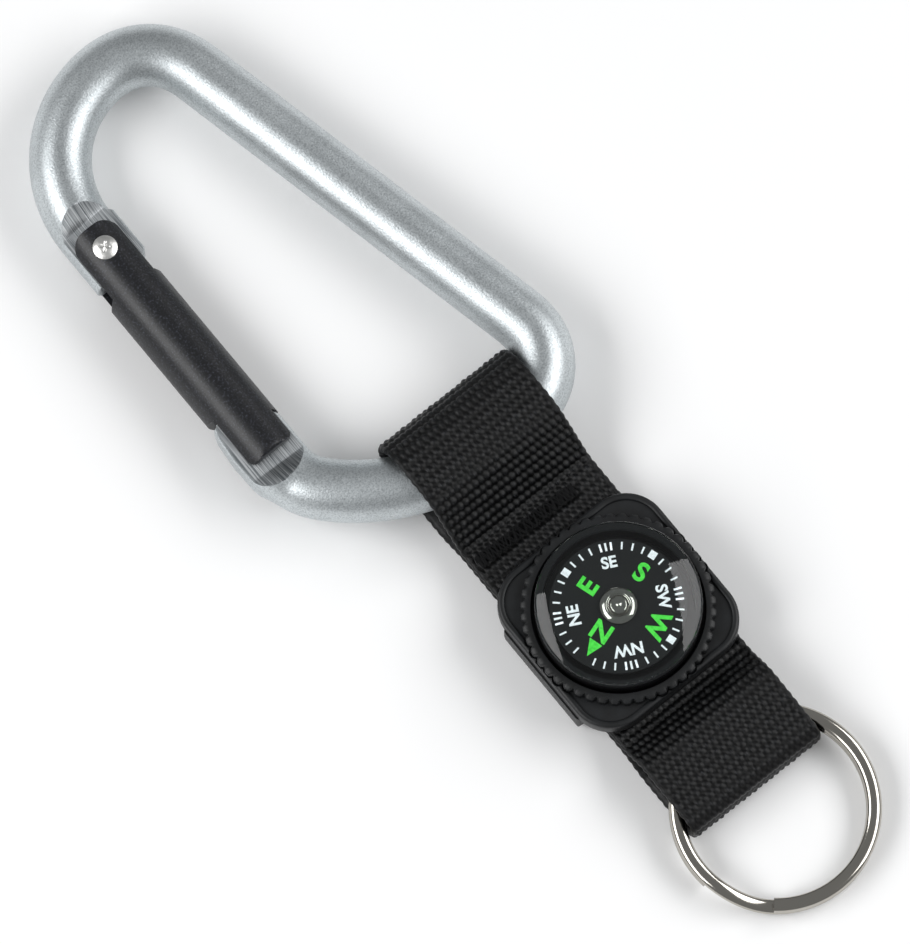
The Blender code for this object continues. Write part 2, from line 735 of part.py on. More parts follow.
def build_holder():
    half = PLATE_SIZE / 2
    plate = prism(
        "compass_holder", rounded_box_outline(half, half, PLATE_CORNER_RADIUS), plate_bottom, plate_top
    )
    inset = half - PLATE_RIM_WIDTH
    face = prism(
        "plate_face",
        rounded_box_outline(inset, inset, PLATE_CORNER_RADIUS - PLATE_RIM_WIDTH),
        plate_top - PLATE_RIM_HEIGHT,
        plate_top + MM,
    )
    cut(plate, hide_cutter(face, root))

    loop_half = STRAP_WIDTH / 2 + GAP + LOOP_WALL
    loop_middle = (0.0, (plate_bottom + 0.5 * MM) / 2)
    loop = prism(
        "strap_loop",
        rounded_box_outline(loop_half, loop_middle[1], 1.6 * MM, middle=loop_middle),
        -LOOP_LENGTH / 2,
        LOOP_LENGTH / 2,
        "XZ",
    )
    recess_radius = capsule_radius + GAP
    collar_radius = recess_radius + COLLAR_WALL
    angles = np.arange(BEAD_COUNT * 6) * 2 * math.pi / (BEAD_COUNT * 6)
    beads = BEAD_HEIGHT * np.clip(np.sin(BEAD_COUNT * angles) * 1.4, 0.0, 1.0)
    collar_outline = [
        ((collar_radius + bead) * math.cos(angle), (collar_radius + bead) * math.sin(angle))
        for angle, bead in zip(angles, beads)
    ]
    collar = prism("collar", collar_outline, seat_height, plate_top + COLLAR_HEIGHT)
    join(plate, hide_cutter(loop, root), hide_cutter(collar, root))

    tunnel_half = (tunnel_height + STRAP_GROOVE) / 2
    tunnel = prism(
        "strap_tunnel",
        rounded_box_outline(
            STRAP_WIDTH / 2 + GAP, tunnel_half, 0.0, middle=(0.0, LOOP_FLOOR + tunnel_half)
        ),
        -PLATE_SIZE,
        PLATE_SIZE,
        "XZ",
    )
    recess = prism("capsule_recess", circle_outline(recess_radius), seat_height, dome_top)
    cut(plate, hide_cutter(tunnel, root), hide_cutter(recess, root))
    finish_piece(plate, black_rubber, root)


def build_capsule():
    inner = capsule_radius - CAPSULE_WALL
    floor = capsule_bottom + CAPSULE_WALL
    cup = turned(
        "capsule_cup",
        [
            (capsule_radius, cup_top),
            (capsule_radius, capsule_bottom + 0.5 * MM),
            (capsule_radius - 0.5 * MM, capsule_bottom),
            (0.0, capsule_bottom),
            (0.0, floor),
            (inner, floor),
            (inner, cup_top),
        ],
    )
    finish_piece(cup, black_plastic, root)

    def cap(radius, base, rise, count=7):
        """Points of a spherical cap, from its crown out to its edge."""
        sphere = (radius**2 + rise**2) / (2 * rise)
        radii = radius * np.linspace(0.0, 1.0, count)
        return [(r, base + rise - sphere + math.sqrt(sphere**2 - r**2)) for r in radii]

    outer_edge = capsule_radius - 0.25 * MM
    outside = cap(outer_edge, dome_rim, DOME_RISE)
    inside = cap(inner, dome_rim - 0.3 * MM, DOME_RISE + 0.3 * MM - DOME_WALL)
    dome_profile = outside + [(capsule_radius, dome_rim - 0.25 * MM), (capsule_radius, dome_bottom)]
    dome_profile += [(inner, dome_bottom)] + inside[::-1]
    finish_piece(turned("capsule_dome", dome_profile), clear_acrylic, root)

    dial_top = cup_top - DIAL_DROP
    dial_bottom = dial_top - DIAL_THICKNESS
    well = 1.05 * MM
    dial = turned(
        "dial_card",
        [
            (DIAL_DIAMETER / 2, dial_top),
            (DIAL_DIAMETER / 2, dial_bottom),
            (well, dial_bottom),
            (well, dial_top),
        ],
    )
    finish_piece(dial, black_plastic, root)

    hub_bottom = dial_top + SNUG
    hub = turned(
        "dial_hub",
        [
            (0.0, hub_bottom + HUB_HEIGHT),
            (0.55 * HUB_RADIUS, hub_bottom + 0.93 * HUB_HEIGHT),
            (0.8 * HUB_RADIUS, hub_bottom + 0.7 * HUB_HEIGHT),
            (HUB_RADIUS, hub_bottom + 0.25 * HUB_HEIGHT),
            (HUB_RADIUS, hub_bottom),
            (well, hub_bottom),
            (well, hub_bottom + 0.5 * HUB_HEIGHT),
            (0.0, hub_bottom + 0.5 * HUB_HEIGHT),
        ],
        steps=32,
    )
    finish_piece(hub, bright_steel, root)

    jewel_top = hub_bottom + 0.5 * HUB_HEIGHT - SNUG
    jewel_radius = well - SNUG
    jewel_bottom = dial_bottom - 0.1 * MM
    pit = 0.45 * MM
    jewel = turned(
        "jewel_bearing",
        [
            (0.0, jewel_top),
            (jewel_radius, jewel_top),
            (jewel_radius, jewel_bottom),
            (pit, jewel_bottom),
            (0.0, jewel_bottom + 0.55 * MM),
        ],
        steps=20,
    )
    finish_piece(jewel, ruby, root)

    magnet_top = dial_bottom - SNUG
    magnet_outline = rounded_box_outline(MAGNET_LENGTH / 2, MAGNET_WIDTH / 2, 0.5 * MM)
    magnet = prism("dial_magnet", magnet_outline, magnet_top - MAGNET_THICKNESS, magnet_top)
    opening = cylinder(
        "magnet_hole",
        well + SNUG,
        (0.0, 0.0, magnet_top - 2 * MAGNET_THICKNESS),
        (0.0, 0.0, magnet_top + MAGNET_THICKNESS),
    )
    cut(magnet, hide_cutter(opening, root))
    finish_piece(magnet, bright_steel, root)

    pin_tip = jewel_bottom + 0.2 * MM
    pivot_pin = turned(
        "pivot_pin",
        [
            (0.0, pin_tip),
            (0.08 * MM, pin_tip - 0.1 * MM),
            (0.3 * MM, pin_tip - 0.9 * MM),
            (0.3 * MM, floor + SNUG + 0.5 * MM),
            (PIVOT_RADIUS, floor + SNUG + 0.3 * MM),
            (PIVOT_RADIUS, floor + SNUG),
            (0.0, floor + SNUG),
        ],
        steps=20,
    )
    finish_piece(pivot_pin, bright_steel, root)


def build_ring():
    """Two turns of flattened wire: an upper coil, a step down, and a lower coil."""
    seat_chord = math.sqrt((RING_INNER_DIAMETER / 2) ** 2 - (STRAP_WIDTH / 2) ** 2)
    seat = fold_inside + RING_SEAT
    frame = make_empty("ring_frame", (0.0, seat, ring_middle), root, tilt=RING_LEAN)
    coil_height = (RING_WIRE_HEIGHT + RING_COIL_GAP) / 2
    total = 720.0 - RING_STEP_TURN - RING_END_GAP
    stations = round(total / ARC_STEP)
    turn = np.linspace(0.0, total, stations + 1)
    step = np.clip((turn - (360.0 - RING_STEP_TURN)) / RING_STEP_TURN, 0.0, 1.0)
    height = coil_height * (1.0 - 2.0 * step**2 * (3.0 - 2.0 * step))
    angle = np.radians(RING_END_ANGLE + turn)
    points = np.stack(
        [ring_radius * np.cos(angle), ring_radius * np.sin(angle) - seat_chord, height], axis=1
    )
    section = bpy.data.curves.new("ring_wire_section", "CURVE")
    section.dimensions = "2D"
    section.fill_mode = "NONE"
    add_spline(
        section,
        rounded_polygon(
            [
                (-RING_WIRE_WIDTH / 2, -RING_WIRE_HEIGHT / 2, 0.3 * MM),
                (RING_WIRE_WIDTH / 2, -RING_WIRE_HEIGHT / 2, 0.3 * MM),
                (RING_WIRE_WIDTH / 2, RING_WIRE_HEIGHT / 2, 0.3 * MM),
                (-RING_WIRE_WIDTH / 2, RING_WIRE_HEIGHT / 2, 0.3 * MM),
            ],
            step=45.0,
        ),
        cyclic=True,
    )
    section_object = hide_cutter(bpy.data.objects.new("ring_wire_section", section), frame)
    curve = bpy.data.curves.new("split_ring", "CURVE")
    curve.dimensions = "3D"
    curve.twist_mode = "Z_UP"
    curve.bevel_mode = "OBJECT"
    curve.bevel_object = section_object
    curve.use_fill_caps = True
    add_spline(curve, [tuple(point) for point in points], cyclic=False)
    ring = mesh_of(bpy.data.objects.new("split_ring_line", curve), "split_ring")
    finish_piece(ring, nickel_steel, frame)


def stand_on_origin():
    """Moves the whole object so that its box is centred on the origin and stands on z = 0."""
    bpy.context.view_layer.update()
    graph = bpy.context.evaluated_depsgraph_get()
    points = []
    for obj in parts.objects:
        if obj.type != "MESH":
            continue
        evaluated = obj.evaluated_get(graph)
        mesh = evaluated.to_mesh()
        place = np.empty(len(mesh.vertices) * 3, np.float32)
        mesh.vertices.foreach_get("co", place)
        evaluated.to_mesh_clear()
        world = np.array(evaluated.matrix_world)
        points.append(place.reshape(-1, 3) @ world[:3, :3].T + world[:3, 3])
    points = np.concatenate(points)
    low, high = points.min(axis=0), points.max(axis=0)
    root.location = (-(low[0] + high[0]) / 2, -(low[1] + high[1]) / 2, -low[2])


clear_scene()
parts = make_collection("carabiner_keyring")
cutters = make_collection("cutters")

satin_aluminium = make_material("satin_aluminium", (0.62, 0.64, 0.65), 0.32, metallic=1.0)
black_anodised = make_material("black_anodised_aluminium", (0.035, 0.035, 0.04), 0.38, metallic=0.6)
bright_steel = make_material("bright_steel", (0.7, 0.7, 0.68), 0.22, metallic=1.0)
nickel_steel = make_material("nickel_plated_steel", (0.72, 0.71, 0.68), 0.12, metallic=1.0)
black_webbing = make_material("black_nylon_webbing", (0.018, 0.018, 0.02), 0.75)
black_thread = make_material("black_nylon_thread", (0.025, 0.025, 0.028), 0.65)
black_rubber = make_material("black_moulded_rubber", (0.02, 0.021, 0.022), 0.55)
black_plastic = make_material("black_plastic", (0.012, 0.012, 0.013), 0.4)
clear_acrylic = make_material("clear_acrylic", (0.9, 0.92, 0.92), 0.03, alpha=0.25)
ruby = make_material("synthetic_ruby", (0.45, 0.02, 0.05), 0.1)

root = make_empty("keyring", (0.0, 0.0, 0.0))
far_reach = carabiner_line()[1].y + wide_bend
carabiner_tilt = -math.degrees(math.atan2(rod_height - rod_radius, far_reach))
carabiner_frame = make_empty(
    "carabiner_frame", (ROD_SIDESTEP, STRAP_TO_ROD, rod_height), root, tilt=carabiner_tilt
)
build_carabiner(carabiner_frame)
build_strap()
build_holder()
build_capsule()
build_ring()
stand_on_origin()
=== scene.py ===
# %% [markdown]
# # A carabiner keyring with a button compass
#
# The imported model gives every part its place, and this lesson gives each of them its real surface.
# Nearly every piece here is a surface worked out with numpy: a grid of points from a formula, joined
# into faces. Lengths are in millimetres while a shape is being worked out, counted from the compass
# axis at floor level, and turn into metres in the one function that makes a mesh.

# %% Load the frame
import json
import math

import bpy
import numpy as np
from mathutils import Matrix, Vector


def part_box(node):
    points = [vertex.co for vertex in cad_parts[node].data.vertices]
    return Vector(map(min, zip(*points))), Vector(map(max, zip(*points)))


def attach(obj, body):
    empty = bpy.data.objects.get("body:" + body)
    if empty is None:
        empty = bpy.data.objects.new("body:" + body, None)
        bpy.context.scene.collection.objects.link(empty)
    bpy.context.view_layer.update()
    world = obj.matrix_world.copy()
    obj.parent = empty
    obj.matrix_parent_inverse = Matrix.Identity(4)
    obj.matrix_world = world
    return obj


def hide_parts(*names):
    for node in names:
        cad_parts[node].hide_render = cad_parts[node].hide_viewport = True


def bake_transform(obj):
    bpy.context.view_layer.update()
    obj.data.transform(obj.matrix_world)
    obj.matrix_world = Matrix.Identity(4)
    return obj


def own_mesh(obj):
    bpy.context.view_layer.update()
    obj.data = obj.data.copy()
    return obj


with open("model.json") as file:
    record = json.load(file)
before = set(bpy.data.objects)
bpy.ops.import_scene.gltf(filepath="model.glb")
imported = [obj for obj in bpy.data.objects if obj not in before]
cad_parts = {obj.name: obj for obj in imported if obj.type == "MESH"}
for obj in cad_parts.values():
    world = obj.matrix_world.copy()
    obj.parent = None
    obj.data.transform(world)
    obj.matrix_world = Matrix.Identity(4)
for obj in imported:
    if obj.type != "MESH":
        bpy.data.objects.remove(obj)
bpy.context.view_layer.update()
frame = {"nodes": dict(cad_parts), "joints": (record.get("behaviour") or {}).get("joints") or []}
MM = 0.001


# %% [markdown]
# ## Places, read from the frame
#
# The strap's hinge on the carabiner is also the origin of the rod's own plane, and the gate's hinge
# gives that plane's normal. The compass axis is the middle of the capsule.

# %% Places
joints = {joint["name"]: joint for joint in frame["joints"]}


def box_mm(node):
    """Lowest and highest corner of a CAD node in millimetres from the compass axis."""
    low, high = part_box(node)
    return (np.array(low) - axis_at) / MM, (np.array(high) - axis_at) / MM


axis_at = np.zeros(3)
cup_low, cup_high = box_mm("capsule_cup")
axis_at = np.array([(cup_low[0] + cup_high[0]) / 2, (cup_low[1] + cup_high[1]) / 2, 0.0]) * MM

rod_normal = Vector(joints["gate_hinge"]["axis"])
rod_plane = Matrix(((1, 0, 0), rod_normal.cross(Vector((1, 0, 0))), rod_normal)).transposed()
rod_origin = (np.array(joints["strap_swing"]["pos_m"]) - axis_at) / MM
pivot_at = (np.array(joints["gate_hinge"]["pos_m"]) - axis_at) / MM - rod_origin
pivot_x, pivot_y = (np.array(rod_plane).T @ pivot_at)[:2]


def from_rod_plane(points):
    """Points given in the rod's own plane, as millimetres from the compass axis."""
    return points @ np.array(rod_plane).T + rod_origin


print("compass axis, metres:", axis_at.round(5), "gate pivot in the rod's plane, mm:", pivot_x, pivot_y)


# %% [markdown]
# ## From a grid of points to a piece
#
# A shell is a closed skin: a grid whose columns run round a section and whose rows run along it. Its
# ends are closed by a fan of triangles, or the last row joins the first. The sum of the little
# pyramids between its faces and the origin is its volume, and a negative volume means that the faces
# point inwards, so they are turned round.

# %% Shells
def quad_corners(rows, columns):
    """Row and column of the four corners of every quad; the last column joins the first."""
    row, column = np.meshgrid(np.arange(rows), np.arange(columns), indexing="ij")
    corner_row = np.stack([row, row, row + 1, row + 1], -1).reshape(-1, 4)
    corner_column = np.stack([column, column + 1, column + 1, column], -1).reshape(-1, 4)
    return corner_row, corner_column % columns


def shell(grid, loop=False, marks=None):
    """A closed skin through grid[row, column]; columns always close on themselves.

    With loop the rows close too, and otherwise a fan closes each end. marks is one row of three
    numbers for each corner of each quad, as made by corner_marks.
    """
    rows, columns = grid.shape[:2]
    corner_row, corner_column = quad_corners(rows if loop else rows - 1, columns)
    quads = corner_row % rows * columns + corner_column
    points = grid.reshape(-1, 3)
    fans = np.zeros((0, 3), int)
    if not loop:
        ring = np.arange(columns)
        after = (ring + 1) % columns
        first, last = rows * columns, rows * columns + 1
        points = np.concatenate([points, [grid[0].mean(0), grid[-1].mean(0)]])
        start = np.stack([after, ring, np.full(columns, first)], 1)
        end_row = (rows - 1) * columns
        end = np.stack([end_row + ring, end_row + after, np.full(columns, last)], 1)
        fans = np.concatenate([start, end])
    return facing_out(skin_of(points, quads, fans, marks))


def skin_of(points, quads=np.zeros((0, 4), int), fans=np.zeros((0, 3), int), marks=None):
    return {"points": points, "quads": quads, "fans": fans, "marks": marks}


def volume(skin):
    """Signed volume: a sixth of the sum of a . (b x c) over every triangle."""
    quads, points = skin["quads"], skin["points"]
    triangles = np.concatenate([quads[:, :3], quads[:, [0, 2, 3]], skin["fans"]])
    a, b, c = points[triangles].transpose(1, 0, 2)
    return np.einsum("ij,ij->", a, np.cross(b, c)) / 6


def facing_out(skin):
    """The same skin, with its faces turned round if its volume is negative."""
    if volume(skin) < 0:
        skin["quads"], skin["fans"] = skin["quads"][:, ::-1], skin["fans"][:, ::-1]
        if skin["marks"] is not None:
            skin["marks"] = skin["marks"][:, ::-1]
    return skin


def corner_marks(across, along):
    """Marks (across, along, 0) for a looped grid; along has one value more than the grid has rows."""
    corner_row, corner_column = quad_corners(len(along) - 1, len(across))
    return np.stack([across[corner_column], along[corner_row], np.zeros(corner_row.shape)], -1)


def piece(name, skins, finish, body, replaces=(), sharp=35.0, crest=None):
    """One object from some shells, riding on a body and standing for some CAD nodes.

    crest is a number for each point, for finishes that change with height or with machining.
    """
    counts = np.cumsum([0] + [len(skin["points"]) for skin in skins])
    points = np.concatenate([skin["points"] for skin in skins]) * MM + axis_at
    quads = np.concatenate([skin["quads"] + count for skin, count in zip(skins, counts)])
    fans = np.concatenate([skin["fans"] + count for skin, count in zip(skins, counts)])
    mesh = bpy.data.meshes.new(name)
    mesh.vertices.add(len(points))
    mesh.vertices.foreach_set("co", points.ravel())
    corners = np.concatenate([quads.ravel(), fans.ravel()])
    mesh.loops.add(len(corners))
    mesh.loops.foreach_set("vertex_index", corners)
    mesh.polygons.add(len(quads) + len(fans))
    sizes = np.concatenate([np.full(len(quads), 4), np.full(len(fans), 3)])
    mesh.polygons.foreach_set("loop_start", np.concatenate([[0], np.cumsum(sizes)[:-1]]))
    mesh.update(calc_edges=True)
    if crest is not None:
        mesh.attributes.new("crest", "FLOAT", "POINT").data.foreach_set("value", crest)
    if skins[0]["marks"] is not None:
        marks = np.concatenate([skin["marks"] for skin in skins]).reshape(-1, 3)
        marks = np.concatenate([marks, np.zeros((3 * len(fans), 3))])
        cloth = mesh.attributes.new("cloth", "FLOAT_VECTOR", "CORNER")
        cloth.data.foreach_set("vector", marks.ravel())
    mesh.shade_smooth()
    mesh.set_sharp_from_angle(angle=math.radians(sharp))
    mesh.materials.append(finish)
    obj = bpy.data.objects.new(name, mesh)
    bpy.context.scene.collection.objects.link(obj)
    if body:
        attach(obj, body)
    if replaces:
        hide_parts(*replaces)
    print(f"{name}: {2 * len(quads) + len(fans)} triangles")
    return obj


def circle(angle):
    """(cos, sin) of each angle, one row each."""
    return np.stack([np.cos(angle), np.sin(angle)], 1)


def smoothstep(value):
    """0 below 0, 1 above 1, and 3t^2 - 2t^3 in between."""
    t = np.clip(value, 0.0, 1.0)
    return t * t * (3 - 2 * t)


# %% [markdown]
# ## Finishes
#
# Each finish is a small node tree. Colours are written as the sRGB hex values that an eye would
# pick, and one function turns them into the linear numbers that the renderer works in. Patterns are
# given in millimetres: a node tree reads Object coordinates, which are metres here, so a pattern
# that repeats every d millimetres has a scale of 1000 / d.

# %% Finish helpers
def linear(hex_value):
    """An sRGB hex colour as linear red, green, blue and 1."""
    srgb = np.array([int(hex_value[i : i + 2], 16) for i in (1, 3, 5)]) / 255
    rgb = np.where(srgb <= 0.04045, srgb / 12.92, ((srgb + 0.055) / 1.055) ** 2.4)
    return (*rgb.tolist(), 1.0)


def per_mm(size):
    """The scale of a pattern whose grains are this many millimetres across."""
    return 1 / (size * MM)


def new_finish(name, **principled):
    """A material, its node tree and its Principled shader, with some sockets set."""
    finish = bpy.data.materials.new(name)
    finish.use_nodes = True
    tree = finish.node_tree
    shader = tree.nodes["Principled BSDF"]
    for socket, value in principled.items():
        shader.inputs[socket.replace("_", " ")].default_value = value
    return finish, tree, shader


def add(tree, kind, links=None, **settings):
    """A node with its settings and its inputs, each of them a value or another node's output."""
    made = tree.nodes.new("ShaderNode" + kind)
    for name, value in settings.items():
        setattr(made, name, value)
    for name, value in (links or {}).items():
        if isinstance(value, bpy.types.NodeSocket):
            tree.links.new(value, made.inputs[name])
        else:
            made.inputs[name].default_value = value
    return made


def ramp(tree, value, stops):
    """A Color Ramp from (position, hex colour) stops."""
    made = add(tree, "ValToRGB", {"Fac": value})
    elements = made.color_ramp.elements
    for element, (position, hex_value) in zip(elements, (stops[0], stops[-1])):
        element.position = position
        element.color = linear(hex_value)
    for position, hex_value in stops[1:-1]:
        elements.new(position).color = linear(hex_value)
    return made.outputs["Color"]


def grain(tree, size, stretch=(1.0, 1.0, 1.0), detail=3.0, source=None):
    """Noise whose grains are size millimetres, longer along an axis by its stretch."""
    where = source or add(tree, "TexCoord").outputs["Object"]
    scaled = add(tree, "Mapping", {"Vector": where, "Scale": tuple(1 / s for s in stretch)})
    settings = {"Scale": 1 / size if source else per_mm(size), "Detail": detail}
    noise = add(tree, "TexNoise", {"Vector": scaled.outputs["Vector"], **settings})
    return noise.outputs["Fac"]


def between(tree, value, low, high):
    """A value from 0 to 1 spread over low to high, as for a roughness."""
    made = add(tree, "MapRange", {"Value": value, "To Min": low, "To Max": high})
    return made.outputs["Result"]


def drive(tree, shader, **sockets):
    """Links patterns to the shader's sockets."""
    for socket, value in sockets.items():
        tree.links.new(value, shader.inputs[socket.replace("_", " ")])


def blend_colours(tree, how, factor, under, over):
    """Two colours mixed, or multiplied or added, by a factor."""
    links = {"Factor": factor, 6: under, 7: over}
    return add(tree, "Mix", links, data_type="RGBA", blend_type=how).outputs[2]


def raise_surface(tree, shader, height, depth):
    """Bump of a height pattern, depth millimetres deep."""
    made = add(tree, "Bump", {"Height": height, "Distance": depth * MM, "Strength": 1.0})
    drive(tree, shader, Normal=made.outputs["Normal"])


# %% [markdown]
# ### Metals
#
# The carabiner is aluminium rod, bead-blasted after bending: glass beads leave tiny round dents, so
# the surface is evenly satin and sparkles a little. Where the ends are milled flat, the cutter
# leaves fine parallel lines instead. The gate is the same metal with a dyed black oxide, which
# reflects like a satin paint. The ring is steel with bright nickel, drawn a little darker than the
# pure metal. A blast mark is about a tenth of a millimetre across, and is drawn twice as coarse so
# that it shows.

# %% Metals
bead_blasted_aluminium, tree, shader = new_finish("bead_blasted_aluminium", Metallic=1.0)
milled = add(tree, "Attribute", attribute_name="crest").outputs["Fac"]
dents = grain(tree, 0.24, detail=2.0)
patches = grain(tree, 6.0)
lines = grain(tree, 0.16, stretch=(1.0, 40.0, 40.0), detail=1.0)
worn = ramp(tree, patches, ((0.35, "#ced3d5"), (0.65, "#dadfe1")))
cut_metal = ramp(tree, lines, ((0.35, "#90969a"), (0.62, "#dfe2e4")))
# Painted glints: light and dark specks in the colour stand in for the sparkle of the blast dents, laid
# over the worn tone.
glints = grain(tree, 0.2, detail=4.0)
painted_sparkle = ramp(tree, glints, ((0.38, "#8f9496"), (0.5, "#dcdfe0"), (0.66, "#ffffff")))
blasted = blend_colours(tree, "MULTIPLY", 0.42, worn, painted_sparkle)
tone = blend_colours(tree, "MIX", milled, blasted, cut_metal)
satin = between(tree, dents, 0.34, 0.56)
cutter_marks = between(tree, lines, 0.34, 0.55)
gloss = add(tree, "Mix", {"Factor": milled, 2: satin, 3: cutter_marks})
height = add(tree, "Mix", {"Factor": milled, 2: dents, 3: lines})
drive(tree, shader, Base_Color=tone, Roughness=gloss.outputs[0])
raise_surface(tree, shader, height.outputs[0], 0.028)

black_anodised_aluminium, tree, shader = new_finish("black_anodised_aluminium")
orange_peel = grain(tree, 0.24, detail=4.0)
# A black dye colour, with lighter specks on the crests of the orange peel that are painted glints.
dye_and_painted_glints = ramp(tree, orange_peel, ((0.4, "#090a0d"), (0.56, "#15161b"), (0.68, "#34363e")))
drive(tree, shader, Base_Color=dye_and_painted_glints, Roughness=between(tree, grain(tree, 3.0), 0.36, 0.46))
raise_surface(tree, shader, orange_peel, 0.02)

bright_nickel_plating, tree, shader = new_finish(
    "bright_nickel_plating", Metallic=1.0, Base_Color=linear("#b5b1a9")
)
drive(tree, shader, Roughness=between(tree, grain(tree, 0.25, detail=2.0), 0.07, 0.16))
raise_surface(tree, shader, grain(tree, 1.6, stretch=(3, 3, 1)), 0.03)

bright_steel, tree, shader = new_finish(
    "bright_steel", Metallic=1.0, Base_Color=linear("#e2e1de")
)
hammered = grain(tree, 0.5)
drive(tree, shader, Roughness=between(tree, hammered, 0.3, 0.5))
raise_surface(tree, shader, hammered, 0.03)
print("metals:", [metal.name for metal in bpy.data.materials if metal.use_nodes])


# %% [markdown]
# ### Webbing, thread, rubber and plastics
#
# Black nylon webbing is never quite black: the crowns of the yarns catch the light, and the gaps
# between the rows don't. The mesh carries how high each point stands in the weave, and the colour
# follows it as painted light on the crowns and painted shade in the gaps; the gloss follows it too.
# Filaments run along each yarn, finer than the mesh, so they are a bump, and they also carry painted
# highlights as bright dashes on the crowns.

# %% Cloth, rubber and plastics
def woven(name, low, high, size):
    """Nylon yarn: painted shade in the gaps and painted light on the crowns, with filaments of a size
    along it.
    """
    finish, tree, shader = new_finish(name, Specular_IOR_Level=0.28)
    crest = add(tree, "Attribute", attribute_name="crest").outputs["Fac"]
    cloth = add(tree, "Attribute", attribute_name="cloth").outputs["Vector"]
    filaments = grain(tree, size, stretch=(1.0, 9.0, 1.0), detail=2.0, source=cloth)
    # Painted light and shade: the colour is lighter on the crowns and darker in the gaps, by height.
    tone = ramp(tree, crest, ((0.35, low), (0.95, high)))
    streak = ramp(tree, filaments, ((0.3, "#a8a8a8"), (0.75, "#ffffff")))
    # Painted highlight: bright dashes along the filaments, added most on the crowns.
    shine = ramp(tree, filaments, ((0.6, "#000000"), (0.72, "#3c3e42")))
    mixed = blend_colours(tree, "MULTIPLY", 1.0, tone, streak)
    lit = blend_colours(tree, "ADD", crest, mixed, shine)
    drive(tree, shader, Base_Color=lit, Roughness=between(tree, filaments, 0.28, 0.56))
    raise_surface(tree, shader, filaments, 0.05)
    return finish


black_nylon_webbing = woven("black_nylon_webbing", "#010101", "#111214", 0.09)
black_nylon_thread = woven("black_nylon_thread", "#010101", "#0d0e10", 0.07)

# Moulded rubber has a fine spark-eroded texture from its mould, and picks up a little dust.
black_moulded_rubber, tree, shader = new_finish("black_moulded_rubber", Specular_IOR_Level=0.4)
mould = grain(tree, 0.16)
dusty = ramp(tree, grain(tree, 2.4, detail=6.0), ((0.4, "#131415"), (0.75, "#1c1e20")))
drive(tree, shader, Base_Color=dusty, Roughness=between(tree, mould, 0.34, 0.56))
raise_surface(tree, shader, mould, 0.012)

# ABS moulded in a fine tool has an even gloss, with the faintest waviness.
black_gloss_abs, tree, shader = new_finish("black_gloss_abs", Base_Color=linear("#08080a"))
drive(tree, shader, Roughness=between(tree, grain(tree, 1.0), 0.3, 0.4))
raise_surface(tree, shader, grain(tree, 2.5), 0.004)

# The card is the same plastic with a matt printed face.
black_card_ink, tree, shader = new_finish("black_card_ink", Base_Color=linear("#060607"))
drive(tree, shader, Roughness=between(tree, grain(tree, 0.3), 0.4, 0.55))
raise_surface(tree, shader, grain(tree, 0.2), 0.004)


def screen_ink(name, pale, full, glow):
    """Pad-printed ink, a little uneven in its cover; its glow is painted light, which keeps it bright
    under the dome.
    """
    finish, tree, shader = new_finish(name, Roughness=0.5, Emission_Strength=glow)
    cover = ramp(tree, grain(tree, 0.35), ((0.3, pale), (0.6, full)))
    drive(tree, shader, Base_Color=cover, Emission_Color=cover)
    return finish


# Both inks glow by emission, as painted light.
white_ink = screen_ink("white_ink", "#dfe2e4", "#f6f8fa", 0.35)
luminous_green_ink_painted_glow = screen_ink("luminous_green_ink_painted_glow", "#3fcf3a", "#57e94f", 0.3)

# Synthetic ruby, clear red, for the bearing under the hub.
synthetic_ruby, tree, shader = new_finish(
    "synthetic_ruby", Roughness=0.05, IOR=1.76, Transmission_Weight=0.4
)
red = ramp(tree, grain(tree, 0.8), ((0.3, "#8a0a1e"), (0.7, "#b0142c")))
drive(tree, shader, Base_Color=red)

# %% [markdown]
# ### Clear acrylic
#
# A thin acrylic dome barely bends what is seen through it, but it mirrors the lamps along its rim.
# Light has to reach the card under it, so most of the shader is plain transparency, and a Fresnel
# factor puts the mirror on top, stronger where the surface turns away.

# %% Clear acrylic
clear_acrylic, tree, shader = new_finish("clear_acrylic")
tree.nodes.remove(shader)
wavy = add(tree, "Bump", {"Height": grain(tree, 3.0), "Distance": 0.002 * MM, "Strength": 1.0})
through = add(tree, "BsdfTransparent", {"Color": linear("#f4f7f7")})
mirror = add(tree, "BsdfGlossy", {"Roughness": 0.03, "Normal": wavy.outputs["Normal"]})
fresnel = add(tree, "Fresnel", {"IOR": 1.49})
behind = add(tree, "NewGeometry").outputs["Backfacing"]
front = add(tree, "Math", {0: 1.0, 1: behind}, operation="SUBTRACT")
share = add(tree, "Math", {0: fresnel.outputs["Fac"], 1: front.outputs[0]}, operation="MULTIPLY")
lens = add(tree, "MixShader", {0: share.outputs[0], 1: through.outputs[0], 2: mirror.outputs[0]})
tree.links.new(lens.outputs[0], tree.nodes["Material Output"].inputs["Surface"])
print("finishes:", len(bpy.data.materials))


# %% [markdown]
# ## The stage and the camera
#
# A long lens looks down at the object at 76 degrees from 2.4 metres, turned so that the object runs
# from the upper left to the lower right. Two tall softboxes stand to the left and the right of the
# view, which gives the rod its long highlights and the dome its two crescents.

# %% Stage
AZIMUTH = -128.9
ELEVATION = 76.3
CAMERA_DISTANCE = 2.4
VIEW_HEIGHT = 0.1133
SENSOR = 36.0
LOOK_AT = Vector((-0.0007, -0.0002, 0.004))

SOFTBOX_DISTANCE = 0.7
SOFTBOX_SIZE = (0.75, 0.34)
ROOM_LIGHT = 0.3
FLOOR_REACH = 1.5


def direction_to(bearing, lift):
    """The unit vector at a bearing from +X and an angle above the floor, in degrees."""
    bearing, lift = math.radians(bearing), math.radians(lift)
    flat = math.cos(lift)
    return Vector((math.cos(bearing) * flat, math.sin(bearing) * flat, math.sin(lift)))


